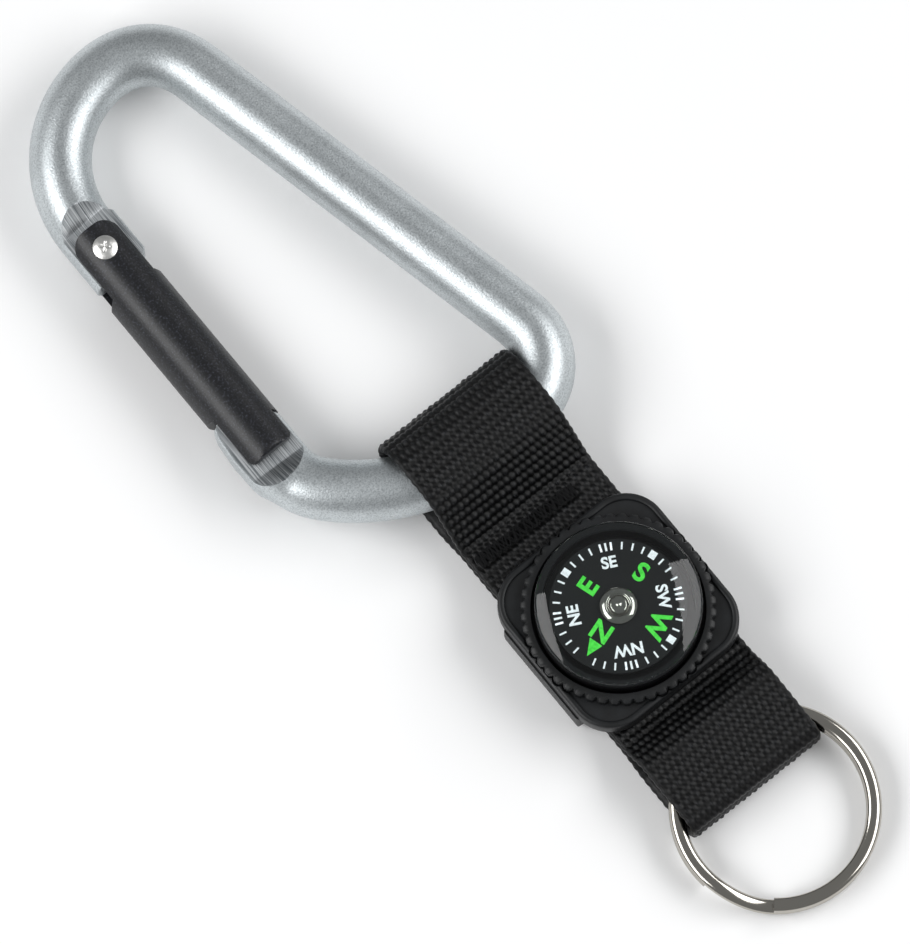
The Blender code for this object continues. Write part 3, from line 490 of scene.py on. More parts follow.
def aim(obj, direction, distance):
    """Puts a camera or lamp at a distance from the object, looking at it, and links it."""
    obj.location = LOOK_AT + direction * distance
    obj.rotation_euler = (-direction).to_track_quat("-Z", "Y").to_euler()
    bpy.context.scene.collection.objects.link(obj)


camera_data = bpy.data.cameras.new("camera")
camera_data.sensor_width = SENSOR
camera_data.lens = SENSOR * CAMERA_DISTANCE / VIEW_HEIGHT
camera = bpy.data.objects.new("camera", camera_data)
aim(camera, direction_to(AZIMUTH, ELEVATION), CAMERA_DISTANCE)
bpy.context.scene.camera = camera
bpy.context.scene.view_settings.view_transform = "Standard"

floor_mesh = bpy.data.meshes.new("floor")
floor_mesh.from_pydata(
    [(x * FLOOR_REACH, y * FLOOR_REACH, 0.0) for x, y in ((-1, -1), (1, -1), (1, 1), (-1, 1))],
    [],
    [(0, 1, 2, 3)],
)
floor = bpy.data.objects.new("floor", floor_mesh)
bpy.context.scene.collection.objects.link(floor)
pale_paper = new_finish("pale_paper", Base_Color=linear("#fbfbfb"), Roughness=0.9)[0]
floor_mesh.materials.append(pale_paper)


def softbox(name, bearing, lift, watts):
    """A rectangular lamp, aimed at the object."""
    lamp = bpy.data.lights.new(name, "AREA")
    lamp.shape = "RECTANGLE"
    lamp.size, lamp.size_y = SOFTBOX_SIZE
    lamp.energy = watts
    aim(bpy.data.objects.new(name, lamp), direction_to(bearing, lift), SOFTBOX_DISTANCE)


softbox("left_softbox", 158.0, 42.0, 3.7)
softbox("right_softbox", -30.0, 40.0, 3.3)

world = bpy.data.worlds.new("studio")
bpy.context.scene.world = world
world.use_nodes = True
background = world.node_tree.nodes["Background"]
background.inputs["Color"].default_value = linear("#f2f4f6")
background.inputs["Strength"].default_value = ROOM_LIGHT
print("camera at", [round(value, 3) for value in camera.location])


# %% [markdown]
# ## The carabiner rod
#
# One aluminium rod is bent round a mandrel into a rounded triangle, and its two ends are milled flat
# to take the gate. Bends are a heading that falls evenly with the distance along the rod, so the
# centre line is the running sum of that heading's cosine and sine. The section is a circle with two
# flats, and the flats' height rises out of the metal where the cutter leaves it.

# %% Carabiner centre line
ROD_RADIUS = 3.8
STRAIGHT_AT_HINGE = 6.8  # from the end of the tang to the first bend
STRAIGHT_AT_NOSE = 7.4
SPINE_LENGTH = 50.6
SPINE_TILT = 12.7
BEND_RADII = {"wide": 14.4, "shoulder": 8.4, "corner": 7.2, "nose": 6.5}
CORNER_TURN = 85.0
NOSE_TURN = 41.0
BEND_EASE = 1.6  # a mandrel bend starts over about this length
TANG_PAST_PIVOT = 3.0


def basket_bend():
    """Turn and radius of the bend in the strap, which closes the line back onto the gate leg."""
    turn = 180.0 + SPINE_TILT - CORNER_TURN - NOSE_TURN
    spine = math.radians(SPINE_TILT - 90.0)
    corner = spine - math.radians(CORNER_TURN)
    nose = corner - math.radians(turn)
    width = BEND_RADII["wide"] - BEND_RADII["shoulder"] * math.sin(spine) + SPINE_LENGTH * math.cos(spine)
    width += BEND_RADII["corner"] * (math.sin(spine) - math.sin(corner))
    width += BEND_RADII["nose"] * (math.sin(nose) - 1.0)
    return turn, width / (math.sin(nose) - math.sin(corner))


basket_turn, basket_radius = basket_bend()
runs = [  # turn in degrees, radius, straight length
    (0.0, 0.0, STRAIGHT_AT_HINGE),
    (90.0, BEND_RADII["wide"], 0.0),
    (90.0 - SPINE_TILT, BEND_RADII["shoulder"], 0.0),
    (0.0, 0.0, SPINE_LENGTH),
    (CORNER_TURN, BEND_RADII["corner"], 0.0),
    (basket_turn, basket_radius, 0.0),
    (NOSE_TURN, BEND_RADII["nose"], 0.0),
    (0.0, 0.0, STRAIGHT_AT_NOSE),
]
turns, radii, straights = np.array(runs).T
lengths = np.radians(turns) * radii + straights
rod_length = lengths.sum()
bend_starts = np.concatenate([[0.0], np.cumsum(lengths)])
bend_headings = 90.0 - np.concatenate([[0.0], np.cumsum(turns)])


def running_sum(value, at):
    """The area under value from the first point of at to each of its points."""
    return np.concatenate([[0.0], np.cumsum((value[1:] + value[:-1]) / 2 * np.diff(at))])


def rod_line(at):
    """Points and headings of the centre line at distances at, in the rod's plane."""
    fine = np.linspace(0.0, rod_length, 6000)
    near = np.linspace(-BEND_EASE, BEND_EASE, 9)[:, None]
    heading = np.radians(np.interp(fine + near, bend_starts, bend_headings).mean(0))
    x = pivot_x + running_sum(np.cos(heading), fine)
    x -= (x[-1] - pivot_x) * smoothstep(fine / rod_length)
    y = pivot_y - TANG_PAST_PIVOT + running_sum(np.sin(heading), fine)
    return np.stack([np.interp(at, fine, x), np.interp(at, fine, y)], 1), np.interp(at, fine, heading)


print("rod length, mm:", round(rod_length, 1), "basket bend radius, mm:", round(basket_radius, 1))

# %% Carabiner section
HALF_TANG = 1.95
HINGE_FLATS = 7.3  # length of the flats at the hinge, from the end of the tang
NOSE_FLATS = 6.8
SCOOP = 2.3
HINGE_LEAN = 0.116  # how far a flat's end leans off square
NOSE_LEAN = 0.08
TIP_SLANT = math.tan(math.radians(27.0))
FINE_STEP = 0.11
COARSE_STEP = 0.5
FLAT_COLUMNS = 30
SIDE_COLUMNS = 20
LEAST_FLAT = 0.2  # as a share of the radius, so that a round section keeps its columns
EAR = 0.3  # how far the tang's inner corner stands out past the rod
EAR_CORNER = 0.9
WALL_ROUND = 0.2  # how far a pressed-out side falls back at its edges
NOSE_SPREAD = 10.0  # length over which the nose widens, from its tip
NOSE_PROFILE = ([0.0, 0.5, 1.6, 4.0, 7.5, 10.0], [3.2, 3.75, 4.15, 4.45, 4.3, 3.8])
TIP_LENGTH = 6.4  # length over which the nose's end slants

milled_end = HINGE_FLATS + 2 * SCOOP + 1.0
stations = np.concatenate(
    [
        np.arange(0.0, milled_end, FINE_STEP),
        np.arange(milled_end, rod_length - milled_end, COARSE_STEP),
        np.linspace(rod_length - milled_end, rod_length, round(milled_end / FINE_STEP)),
    ]
)
to_tip = rod_length - stations


def round_height(across):
    """Half thickness of the round rod, for points across it."""
    return np.sqrt(ROD_RADIUS**2 - across**2)


def milled_height(across):
    """Half thickness of the rod at each station, for points across it; the run-out is a ramp."""
    past_hinge = (stations[:, None] + HINGE_LEAN * across - HINGE_FLATS) / SCOOP
    past_nose = (to_tip[:, None] + NOSE_LEAN * across - NOSE_FLATS) / SCOOP
    past = np.clip(np.minimum(past_hinge, past_nose), 0.0, 2.0)
    return HALF_TANG + (ROD_RADIUS - HALF_TANG) * past**1.15


def flat_edge(side):
    """How far out the flat ends on one side: where the circle is as high as the flat."""
    edge = np.full((len(stations), 1), 0.5 * ROD_RADIUS)
    for _ in range(12):
        height = np.minimum(milled_height(side * edge), ROD_RADIUS)
        edge = 0.5 * edge + 0.5 * round_height(height)
    return np.maximum(edge, LEAST_FLAT * ROD_RADIUS)


left_edge, right_edge = flat_edge(1.0), flat_edge(-1.0)
share = np.linspace(0.0, 1.0, FLAT_COLUMNS)[None, :]
across_flat = -right_edge + (left_edge + right_edge) * share
flat_height = np.minimum(milled_height(across_flat), round_height(across_flat))


def side_arc(edge, height, outer, blend):
    """The round side from the top flat to the bottom one, pressed out to a wall where blend is 1."""
    top = np.arctan2(height, edge)
    angle = top * np.linspace(1.0, -1.0, SIDE_COLUMNS + 2)[None, 1:-1]
    reach = np.hypot(edge, height)
    across, up = reach * np.cos(angle), reach * np.sin(angle)
    wall = outer - WALL_ROUND * (up / height) ** 6
    return across + blend * (wall - across), up


# The tang's inner corner is drawn out into an ear, and the nose is spread a little outwards.
short_of_corner = np.clip(EAR_CORNER - stations, 0, EAR_CORNER)
corner_cut = EAR_CORNER - np.sqrt(np.clip(EAR_CORNER**2 - short_of_corner**2, 0, 1))
ear_edge = (ROD_RADIUS + EAR - corner_cut)[:, None]
ear_blend = smoothstep((HINGE_FLATS + 0.2 - stations) / 0.9)[:, None]
nose_edge = np.interp(to_tip, *NOSE_PROFILE)[:, None]
nose_blend = smoothstep((NOSE_SPREAD - to_tip) / 3.5)[:, None]
left_side, left_up = side_arc(left_edge, flat_height[:, -1:], nose_edge, nose_blend)
right_side, right_up = side_arc(right_edge, flat_height[:, :1], ear_edge, ear_blend)
left_corner = left_edge + nose_blend * (nose_edge - WALL_ROUND - left_edge)
right_corner = right_edge + ear_blend * (ear_edge - WALL_ROUND - right_edge)
to_left, to_right = across_flat * left_corner / left_edge, across_flat * right_corner / right_edge
stretched = np.where(across_flat > 0, to_left, to_right)
across = np.concatenate([stretched, left_side, stretched[:, ::-1], -right_side[:, ::-1]], 1)
up = np.concatenate([flat_height, left_up, -flat_height[:, ::-1], right_up[:, ::-1]], 1)
line, heading = rod_line(stations)
sideways = np.stack([-np.sin(heading), np.cos(heading)], 1)
tip_shear = smoothstep((TIP_LENGTH - to_tip) / TIP_LENGTH)[:, None] * TIP_SLANT
grid = np.zeros((*across.shape, 3))
grid[..., :2] = line[:, None] + across[..., None] * sideways[:, None]
grid[..., 1] += tip_shear * across
grid[..., 2] = up


def rounded_end(grid, radius, outwards):
    """Three more rows past an end, which turn its edge in by a quarter circle of a radius."""
    middle = grid.mean(0)
    spread = grid - middle
    wide = np.abs(spread).max(0)
    rows = []
    for angle in np.radians([30.0, 60.0, 90.0]):
        shrink = 1 - radius * (1 - np.cos(angle)) / np.maximum(wide, radius * 2)
        rows.append(middle + spread * shrink + outwards * radius * np.sin(angle))
    return np.array(rows)


along_leg = np.array([0.0, 1.0, 0.0])
tang_end = rounded_end(grid[0], 0.2, -along_leg)[::-1]
nose_tip_end = rounded_end(grid[-1], 0.3, along_leg)
cut = (milled_height(across_flat) < round_height(across_flat) - 0.02).astype(float)
round_side = np.zeros((len(stations), SIDE_COLUMNS))
is_milled = np.concatenate([cut, round_side, cut[:, ::-1], round_side], 1)
crest = np.concatenate([is_milled[:1]] * 3 + [is_milled] + [is_milled[-1:]] * 3).ravel()
grid = from_rod_plane(np.concatenate([tang_end, grid, nose_tip_end]))
piece(
    "carabiner_rod", [shell(grid)], bead_blasted_aluminium, "carabiner",
    ["carabiner_body"], sharp=28, crest=np.append(crest, [0.0, 0.0]),
)


# %% [markdown]
# ## The gate
#
# The gate is a round bar, anodised black, with a slot milled across each end: one for the tang and one
# for the nose. What is left beside a slot is a cheek with a D-shaped section, so the gate is one round
# middle and four D-shaped cheeks. The fork's cheeks end in a rounded corner round the rivet, and the
# other end is bevelled.

# %% Gate
GATE_RADIUS = 3.85
SLOT_HALF = 2.25
CHEEK_HALF = math.sqrt(GATE_RADIUS**2 - SLOT_HALF**2)
FORK_CORNER = 1.9
SLOT_DEPTH = 5.3  # from the pivot, or from the nose's tip, to a slot's end
FORK_PAST_PIVOT = 3.2
NOSE_ROOM = 0.6  # between the nose's tip and its slot's end
END_CORNER, END_BEVEL = 0.9, 0.7
SHOULDER = 0.985  # the shoulder's row lies this little inside the bar
leg_x = pivot_x
nose_tip = line[-1, 1]
gate_end = nose_tip - SLOT_DEPTH
hinge_slot = pivot_y - SLOT_DEPTH
fork_end = pivot_y + FORK_PAST_PIVOT

angle = np.radians(np.arange(0, 360, 2.5))
round_x, round_z = GATE_RADIUS * np.cos(angle), GATE_RADIUS * np.sin(angle)
low = nose_tip + NOSE_ROOM - TIP_SLANT * round_x
high = hinge_slot - 0.8 * np.clip(np.abs(round_x) - CHEEK_HALF, 0, 1)
rise = np.linspace(0, 1, 30)[:, None]
middle = np.stack(np.broadcast_arrays(leg_x + round_x, low + (high - low) * rise, round_z), -1)
inside = SHOULDER * np.clip(round_x, -CHEEK_HALF, CHEEK_HALF)
shoulder = np.stack([leg_x + inside, 0 * angle + hinge_slot, SHOULDER * round_z], -1)
middle = np.concatenate([middle, shoulder[None]])

TOP_COLUMNS = 41
over = np.concatenate([np.linspace(-1, 1, TOP_COLUMNS), np.linspace(1, -1, 13)])
edge_round = smoothstep((np.abs(over) - 0.9) / 0.1)


def cheek(side, y, half, slant=0.0, ceiling=9.0):
    """A D-shaped bar: z from the slot's wall up to sqrt(R^2 - x^2), half wide, along the rows y."""
    x = np.asarray(half)[:, None] * over
    roof = np.minimum(np.sqrt(GATE_RADIUS**2 - x**2), np.broadcast_to(ceiling, y.shape)[:, None])
    top = roof - 0.18 * edge_round * (roof > SLOT_HALF + 0.25)
    z = np.where(np.arange(len(over)) < TOP_COLUMNS, top, SLOT_HALF)
    y_at = y[:, None] - np.broadcast_to(slant, y.shape)[:, None] * x
    return shell(from_rod_plane(np.stack([leg_x + x, y_at, side * z], -1)))


def rounded_in(full, radius, past):
    """A size that grows to full by a quarter circle of a radius, past the end."""
    return full - radius + radius * np.sqrt(1 - np.clip(1 - past / radius, 0, 1) ** 2)


turn = np.radians(np.linspace(0, 90, 10))
fork_y = np.append(hinge_slot - 0.02, fork_end - FORK_CORNER + FORK_CORNER * np.sin(turn))
fork_half = np.append(CHEEK_HALF, CHEEK_HALF - FORK_CORNER + FORK_CORNER * np.cos(turn))
past = np.array([0.0, 0.06, 0.18, 0.4, 0.7, 1.0])
nose_y = np.append(gate_end + past, nose_tip + NOSE_ROOM + 0.02)
nose_half = np.append(rounded_in(CHEEK_HALF, END_CORNER, past), CHEEK_HALF)
nose_slant = np.append(np.zeros(len(past)), TIP_SLANT)
bevel = np.append(rounded_in(GATE_RADIUS, END_BEVEL, past), 9.0)
cheeks = [cheek(side, fork_y, fork_half) for side in (1.0, -1.0)]
cheeks += [cheek(side, nose_y, nose_half, nose_slant, bevel) for side in (1.0, -1.0)]
piece(
    "black_gate", [shell(from_rod_plane(middle)), *cheeks], black_anodised_aluminium,
    "gate", ["gate"],
)

# %% [markdown]
# The rivet's head is peened over with a punch that leaves a small cross. It is a body of revolution
# whose top is pressed in along two lines.

# %% Rivet
def lathe(profile, columns=96, press=None):
    """A closed body turned about z from (radius, height) points; press(x, y) lowers the surface."""
    radius, height = np.array(profile, float).T
    radius = np.maximum(radius, 1e-4)
    turn = np.linspace(0, 2 * math.pi, columns, endpoint=False)
    x, y = radius[:, None] * np.cos(turn), radius[:, None] * np.sin(turn)
    z = np.broadcast_to(height[:, None], x.shape)
    z = z - press(x, y) * np.sign(z) if press else z
    return np.stack([x, y, z], -1)


def cross(x, y):
    """A cross 0.14 mm deep with arms 0.6 mm long."""
    near = np.minimum(np.abs(x + y), np.abs(x - y)) / 0.2
    return 0.14 * np.exp(-(near**2)) * (1 - smoothstep((np.hypot(x, y) - 0.45) / 0.35))


HEAD_RADIUS, SHANK_RADIUS = 1.5, 1.0
HEAD_TOP, HEAD_DROP, HEAD_BASE = 4.32, 0.42, 3.4
share = np.linspace(0.02, 1.0, 16)
head = np.stack([HEAD_RADIUS * share, HEAD_TOP - HEAD_DROP * share**2.4], 1)
head = np.concatenate([head, [[HEAD_RADIUS, HEAD_BASE], [SHANK_RADIUS, HEAD_BASE - 0.05]]])
head = np.concatenate([head, (head * [1, -1])[::-1]])
rivet = from_rod_plane(lathe(head, 72, cross) + [leg_x, pivot_y, 0])
piece("hinge_rivet", [shell(rivet)], bright_steel, "carabiner", ["gate_rivet"])


# %% [markdown]
# ## The strap
#
# Flat woven webbing: each row is a pick of the weft, and over it the warp yarns show as little ovals
# that shift by half a yarn from row to row. The strap is a closed band that goes round the rod and
# the ring. Its section is swept along a line of straight runs and rounded corners, resampled so that
# every row of the weave gets the same number of stations.

# %% Strap line
STRAP_CORNERS = [
    (33.47, 10.0, 4.61), (33.47, 0.6, 4.61), (21.3, 0.6, 3.0), (17.7, 2.1, 3.0),
    (-13.4, 2.1, 5.0), (-16.9, 0.6, 5.0), (-26.2, 0.6, 1.6), (-26.2, 5.12, 1.6),
    (-16.63, 6.0, 3.5), (-13.4, 3.6, 3.5), (17.7, 3.6, 2.0), (23.91, 10.0, 4.7),
]
STRAP_HALF_WIDTH = 9.8
ROW_PITCH = 1.17
STATIONS_PER_ROW = 5
YARN_PITCH = 0.85
COLUMNS_PER_YARN = 6
YARNS = 22
LOW_WEAVE, HIGH_WEAVE = 0.18, 0.62  # height of the face over the line, in a gap and on a crown
SELVEDGE_X, SELVEDGE_HALF = 9.36, 0.46
BACK_HALF, BACK_COLUMNS = 9.3, 18
BACK_DEPTH = 0.56


def rounded_loop(corners, arc_points=24):
    """The closed line through (y, z, radius) corners, each rounded by an arc of its radius."""
    corners = np.array(corners)
    points = []
    for before, corner, after in zip(np.roll(corners, 1, 0), corners, np.roll(corners, -1, 0)):
        into, out = corner[:2] - before[:2], after[:2] - corner[:2]
        into, out = into / np.hypot(*into), out / np.hypot(*out)
        turn = math.atan2(into[0] * out[1] - into[1] * out[0], into @ out)
        start = corner[:2] - into * corner[2] * math.tan(abs(turn) / 2)
        side = math.copysign(1.0, turn) * np.array([-into[1], into[0]])
        swing = np.linspace(0, abs(turn), arc_points)[:, None]
        points.append(start + corner[2] * (np.sin(swing) * into + (1 - np.cos(swing)) * side))
    return np.concatenate(points)


raw = rounded_loop(STRAP_CORNERS)
raw = np.concatenate([raw, raw[:1]])
raw_length = np.concatenate([[0.0], np.cumsum(np.hypot(*np.diff(raw, axis=0).T))])
strap_length = raw_length[-1]
weave_rows = round(strap_length / ROW_PITCH)
station_count = weave_rows * STATIONS_PER_ROW
along = np.arange(station_count + 1) * strap_length / station_count
strap_line = np.stack([np.interp(along[:-1], raw_length, raw[:, i]) for i in (0, 1)], 1)
tangent = np.roll(strap_line, -1, 0) - np.roll(strap_line, 1, 0)
tangent /= np.hypot(*tangent.T)[:, None]
outward = np.stack([-tangent[:, 1], tangent[:, 0]], 1)
print("strap's length round the loop, mm:", round(strap_length, 1), "rows:", weave_rows)

# %% Strap weave
rng = np.random.default_rng(7)
station = np.arange(station_count)
row_of = station // STATIONS_PER_ROW
in_row = (station % STATIONS_PER_ROW + 0.5) / STATIONS_PER_ROW
rib = np.sin(math.pi * in_row)[:, None] ** 0.7
column = np.arange(YARNS * COLUMNS_PER_YARN)
yarn_shift = 0.5 * (row_of % 2) + 0.3 * (in_row - 0.5)
yarn_at = np.maximum((column + 0.5)[None, :] / COLUMNS_PER_YARN + yarn_shift[:, None], 0)
yarn = np.sin(math.pi * (yarn_at % 1.0)) ** 0.5
wobble = rng.uniform(0.72, 1.0, (weave_rows, YARNS + 1))[row_of[:, None], yarn_at.astype(int)]
weave = rib * (0.2 + 0.8 * yarn) * wobble
outer_x = ((column + 0.5) / COLUMNS_PER_YARN - YARNS / 2) * YARN_PITCH
outer_x = np.broadcast_to(outer_x, weave.shape)
outer_n = LOW_WEAVE + (HIGH_WEAVE - LOW_WEAVE) * weave
swing = np.radians(np.linspace(75, -75, 6))
bulge = 0.36 + 0.16 * rib
edge_x = SELVEDGE_X + bulge * np.cos(swing)
edge_n = np.broadcast_to(SELVEDGE_HALF * np.sin(swing), edge_x.shape)
back_x = np.linspace(BACK_HALF, -BACK_HALF, BACK_COLUMNS)
inner_x = np.broadcast_to(back_x, (station_count, BACK_COLUMNS))
inner_n = np.full(inner_x.shape, -BACK_DEPTH) - 0.04 * rib
section_x = np.concatenate([outer_x, edge_x, inner_x, -edge_x[:, ::-1]], 1)
section_n = np.concatenate([outer_n, edge_n, inner_n, edge_n[:, ::-1]], 1)
edge_crest = np.broadcast_to(0.8 * rib, edge_x.shape)
crest = np.concatenate([weave, edge_crest, np.full(inner_x.shape, 0.5), edge_crest], 1)
strap_grid = np.empty((*section_x.shape, 3))
strap_grid[..., 0] = section_x
strap_grid[..., 1:] = strap_line[:, None] + section_n[..., None] * outward[:, None]
across_tape = section_x[0]
across_tape = np.where(np.abs(across_tape) < BACK_HALF, across_tape, across_tape * 1.1)
strap_skin = shell(strap_grid, loop=True, marks=corner_marks(across_tape, along))
strap = piece(
    "woven_strap", [strap_skin], black_nylon_webbing, None, ["strap"],
    sharp=180, crest=crest.ravel(),
)
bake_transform(strap)

# %% [markdown]
# The bartack is a dense zigzag of bonded thread, sewn there, back and there again over one place. No
# two stitches pull quite alike, so each one is a little long or short.

# %% Bartack
def sweep(points, section):
    """A tube: section (side, up) points carried along a line, kept upright."""
    ahead = np.gradient(points, axis=0)
    ahead /= np.linalg.norm(ahead, axis=1)[:, None]
    side = np.cross(ahead, [0.0, 0.0, 1.0])
    side /= np.linalg.norm(side, axis=1)[:, None]
    up = np.cross(side, ahead)
    section = section[None, :, :, None]
    return points[:, None] + section[:, :, 0] * side[:, None] + section[:, :, 1] * up[:, None]


ZIGZAGS = 84
PASSES = 1.5  # there, back and there again, counted in round trips
THREAD_RADIUS = 0.13
thread_section = THREAD_RADIUS * circle(np.radians(np.arange(0, 360, 60)))


def bartack(node, name, lift):
    """A zigzag across the node's box while it goes to and fro along it, as a cosine of the time."""
    low, high = box_mm(node)
    middle = (low + high) / 2
    knots = rng.uniform(-1, 1, (3, ZIGZAGS + 1))
    t = np.linspace(0, 1, ZIGZAGS * 8)
    knot_at = np.linspace(0, 1, ZIGZAGS + 1)
    slack_x, slack_y, slack_z = (np.interp(t, knot_at, knot) for knot in knots)
    to_and_fro = 0.5 - 0.5 * np.cos(2 * math.pi * t * PASSES)
    zigzag = np.sin(math.pi * ZIGZAGS * t) * (0.8 + 0.2 * slack_y)
    x = low[0] + 0.5 + (high[0] - low[0] - 1.0) * to_and_fro + 0.25 * slack_x
    y = middle[1] + (high[1] - low[1] - 0.5) / 2 * zigzag
    z = middle[2] + lift + 0.05 * slack_z
    skin = shell(sweep(np.stack([x, y, z], 1), thread_section))
    crest = np.full(len(skin["points"]), 0.7)
    piece(name, [skin], black_nylon_thread, "strap", [node], crest=crest)


bartack("bartack_needle_thread", "bartack_zigzag_on_top", 0.08)
bartack("bartack_bobbin_thread", "bartack_zigzag_below", 0.0)


# %% [markdown]
# ## The rubber holder
#
# The holder is moulded in one: a square plate with rounded corners and a raised rim, a beaded collar
# that grips the capsule, and a loop under it for the strap. The plate and the collar are one surface
# in polar form, from the middle of the seat, up the collar's inside, over its beads and out to the
# plate's edge. A ray at an angle meets a rounded square on a straight side or on a corner arc, and
# both distances have a formula.

# %% Holder
CUP_FLOOR, CUP_TOP = cup_low[2], cup_high[2]
PLATE_BOTTOM, PLATE_TOP, SEAT = CUP_FLOOR - 1.3, CUP_FLOOR + 1.4, CUP_FLOOR - 0.3
PLATE_HALF = 11.8
PLATE_CORNER = 5.2
CAPSULE_RADIUS = 10.1
BEADS = 48
BEAD_DEPTH = 0.42
polar = np.linspace(0, 2 * math.pi, BEADS * 10, endpoint=False)


def rounded_square(inset):
    """Distance from the middle to a rounded square's outline at every angle of polar."""
    half, radius = PLATE_HALF - inset, max(PLATE_CORNER - inset, 0.1)
    across, up = np.abs(np.cos(polar)), np.abs(np.sin(polar))
    straight = half / np.maximum(across, up)
    middle = half - radius
    towards = middle * (across + up)
    arc = towards + np.sqrt(np.maximum(towards**2 - 2 * middle**2 + radius**2, 0))
    on_corner = np.minimum(across, up) * straight > middle
    return np.where(on_corner, arc, straight)


bead = BEAD_DEPTH * np.clip(np.abs(np.sin(BEADS / 2 * polar)) * 1.2, 0, 1)
recess = CAPSULE_RADIUS + 0.3
collar = recess + 0.9
beaded = collar + bead
collar_top = PLATE_TOP + 1.0
face = PLATE_TOP - 0.35
COLLAR_ROWS = 9
rows = [
    (0.02, SEAT), (4.0, SEAT), (recess, SEAT), (recess, collar_top - 0.2),
    (recess + 0.15, collar_top), (collar - 0.35, collar_top),
    (collar - 0.1 + 0.6 * bead, collar_top - 0.06), (beaded, collar_top - 0.3),
    (beaded, face + 0.15), (beaded + 0.05, face),
]
# The rim's inner rows give way to the beads where the two would cross.
inner_rim = [
    (0.9, face), (0.86, face + 0.2), (0.76, PLATE_TOP - 0.04), (0.5, PLATE_TOP), (0.35, PLATE_TOP),
]
for step, (inset, z) in enumerate(inner_rim, 1):
    rows.append((np.maximum(rounded_square(inset), beaded + 0.06 * step), z))
outer_rim = [
    (0.12, PLATE_TOP - 0.1), (0.02, PLATE_TOP - 0.28), (0.0, PLATE_TOP - 0.6),
    (0.0, PLATE_BOTTOM + 0.4), (0.12, PLATE_BOTTOM + 0.1), (0.4, PLATE_BOTTOM),
]
rows += [(rounded_square(inset), z) for inset, z in outer_rim] + [(0.02, PLATE_BOTTOM)]
radius = np.array([np.broadcast_to(r, polar.shape) for r, z in rows])
is_collar = (np.arange(len(rows)) < COLLAR_ROWS)[:, None]
radius = np.minimum(radius, np.maximum(rounded_square(0.0), radius * is_collar))
heights = np.broadcast_to(np.array([z for r, z in rows])[:, None], radius.shape)
plate = np.stack([radius * np.cos(polar), radius * np.sin(polar), heights], -1)

# %% Strap loop
SIDE_WALL, FLOOR_WALL = 0.95, 0.6  # half thickness
LOOP_HALF = STRAP_HALF_WIDTH + 0.3
LOOP_CORNER = 0.3
u_floor = np.linspace(LOOP_CORNER - LOOP_HALF, LOOP_HALF - LOOP_CORNER, 9)
u_end = [LOOP_HALF + SIDE_WALL] * 3
u_x = np.concatenate([np.negative(u_end), u_floor, u_end])
u_z = np.concatenate([[4.9, 2.6, 1.3], np.full(9, FLOOR_WALL), [1.3, 2.6, 4.9]])
u_wall = np.where(np.abs(u_x) > LOOP_HALF, SIDE_WALL, FLOOR_WALL)[:, None, None]
quarter = circle(np.radians([0, 30, 60, 90]))
wall_section = np.concatenate(
    [
        (quarter[:: a * b] * [a, b]) * LOOP_CORNER + [a * (SIDE_WALL - LOOP_CORNER), b * 6.8]
        for a, b in ((1, 1), (-1, 1), (-1, -1), (1, -1))
    ]
)
u_line = np.stack([u_x, 0 * u_x, u_z], 1)
u_ahead = np.gradient(u_line, axis=0)
u_ahead /= np.linalg.norm(u_ahead, axis=1)[:, None]
u_side = np.stack([u_ahead[:, 2], 0 * u_x, -u_ahead[:, 0]], 1)
loop_grid = u_line[:, None] + wall_section[None, :, :1] / SIDE_WALL * u_wall * u_side[:, None]
loop_grid[..., 1] += wall_section[None, :, 1]
piece(
    "rubber_holder", [shell(plate), shell(loop_grid)], black_moulded_rubber,
    "compass", ["compass_holder"], sharp=40,
)

# %% [markdown]
# ## The capsule
#
# A glossy black cup and a clear dome are glued together round the card. The dome is a spherical cap
# with a short straight edge, and has an inside as well as an outside, as the real lens has.

# %% Capsule
CAPSULE_COLUMNS = 160
CUP_WALL = 0.9
CAPSULE_INNER = CAPSULE_RADIUS - CUP_WALL
cup = [
    (0.01, CUP_FLOOR), (9.5, CUP_FLOOR), (10.0, CUP_FLOOR + 0.3),
    (CAPSULE_RADIUS, CUP_FLOOR + 0.7), (CAPSULE_RADIUS, CUP_TOP), (CAPSULE_INNER, CUP_TOP),
    (CAPSULE_INNER, CUP_FLOOR + CUP_WALL), (0.01, CUP_FLOOR + CUP_WALL),
]
cup_skin = shell(lathe(cup, CAPSULE_COLUMNS))
piece("compass_cup", [cup_skin], black_gloss_abs, "compass", ["capsule_cup"])


def cap(radius, base, rise):
    """A spherical cap's (radius, height) points from the crown out to the edge."""
    sphere = (radius**2 + rise**2) / (2 * rise)
    r = radius * np.linspace(0.001, 1.0, 40)
    return np.stack([r, base + rise - sphere + np.sqrt(sphere**2 - r**2)], 1)


dome_base = CUP_TOP + 0.12
dome_rim = dome_base + 1.0
DOME_ROLL = 0.35  # radius of the dome's rolled edge
rolled = [CAPSULE_RADIUS - DOME_ROLL, dome_rim - 0.2]
rolled = rolled + DOME_ROLL * circle(np.radians(np.linspace(60, 0, 7)))
outside, within = cap(9.85, dome_rim, 2.0), cap(CAPSULE_INNER, dome_rim - 0.3, 1.5)[::-1]
foot = [[CAPSULE_RADIUS, dome_base], [CAPSULE_INNER, dome_base]]
dome = shell(lathe(np.concatenate([outside, rolled, foot, within]), CAPSULE_COLUMNS))
piece("clear_dome", [dome], clear_acrylic, "compass", ["capsule_dome"])

# %% [markdown]
# ## The card
#
# The card is a black disc printed in white and green. Each mark is a thin solid that stands a few
# hundredths of a millimetre above it, and turns with it. Letters stand with their tops outwards, and
# the angles run counter-clockwise from +X.

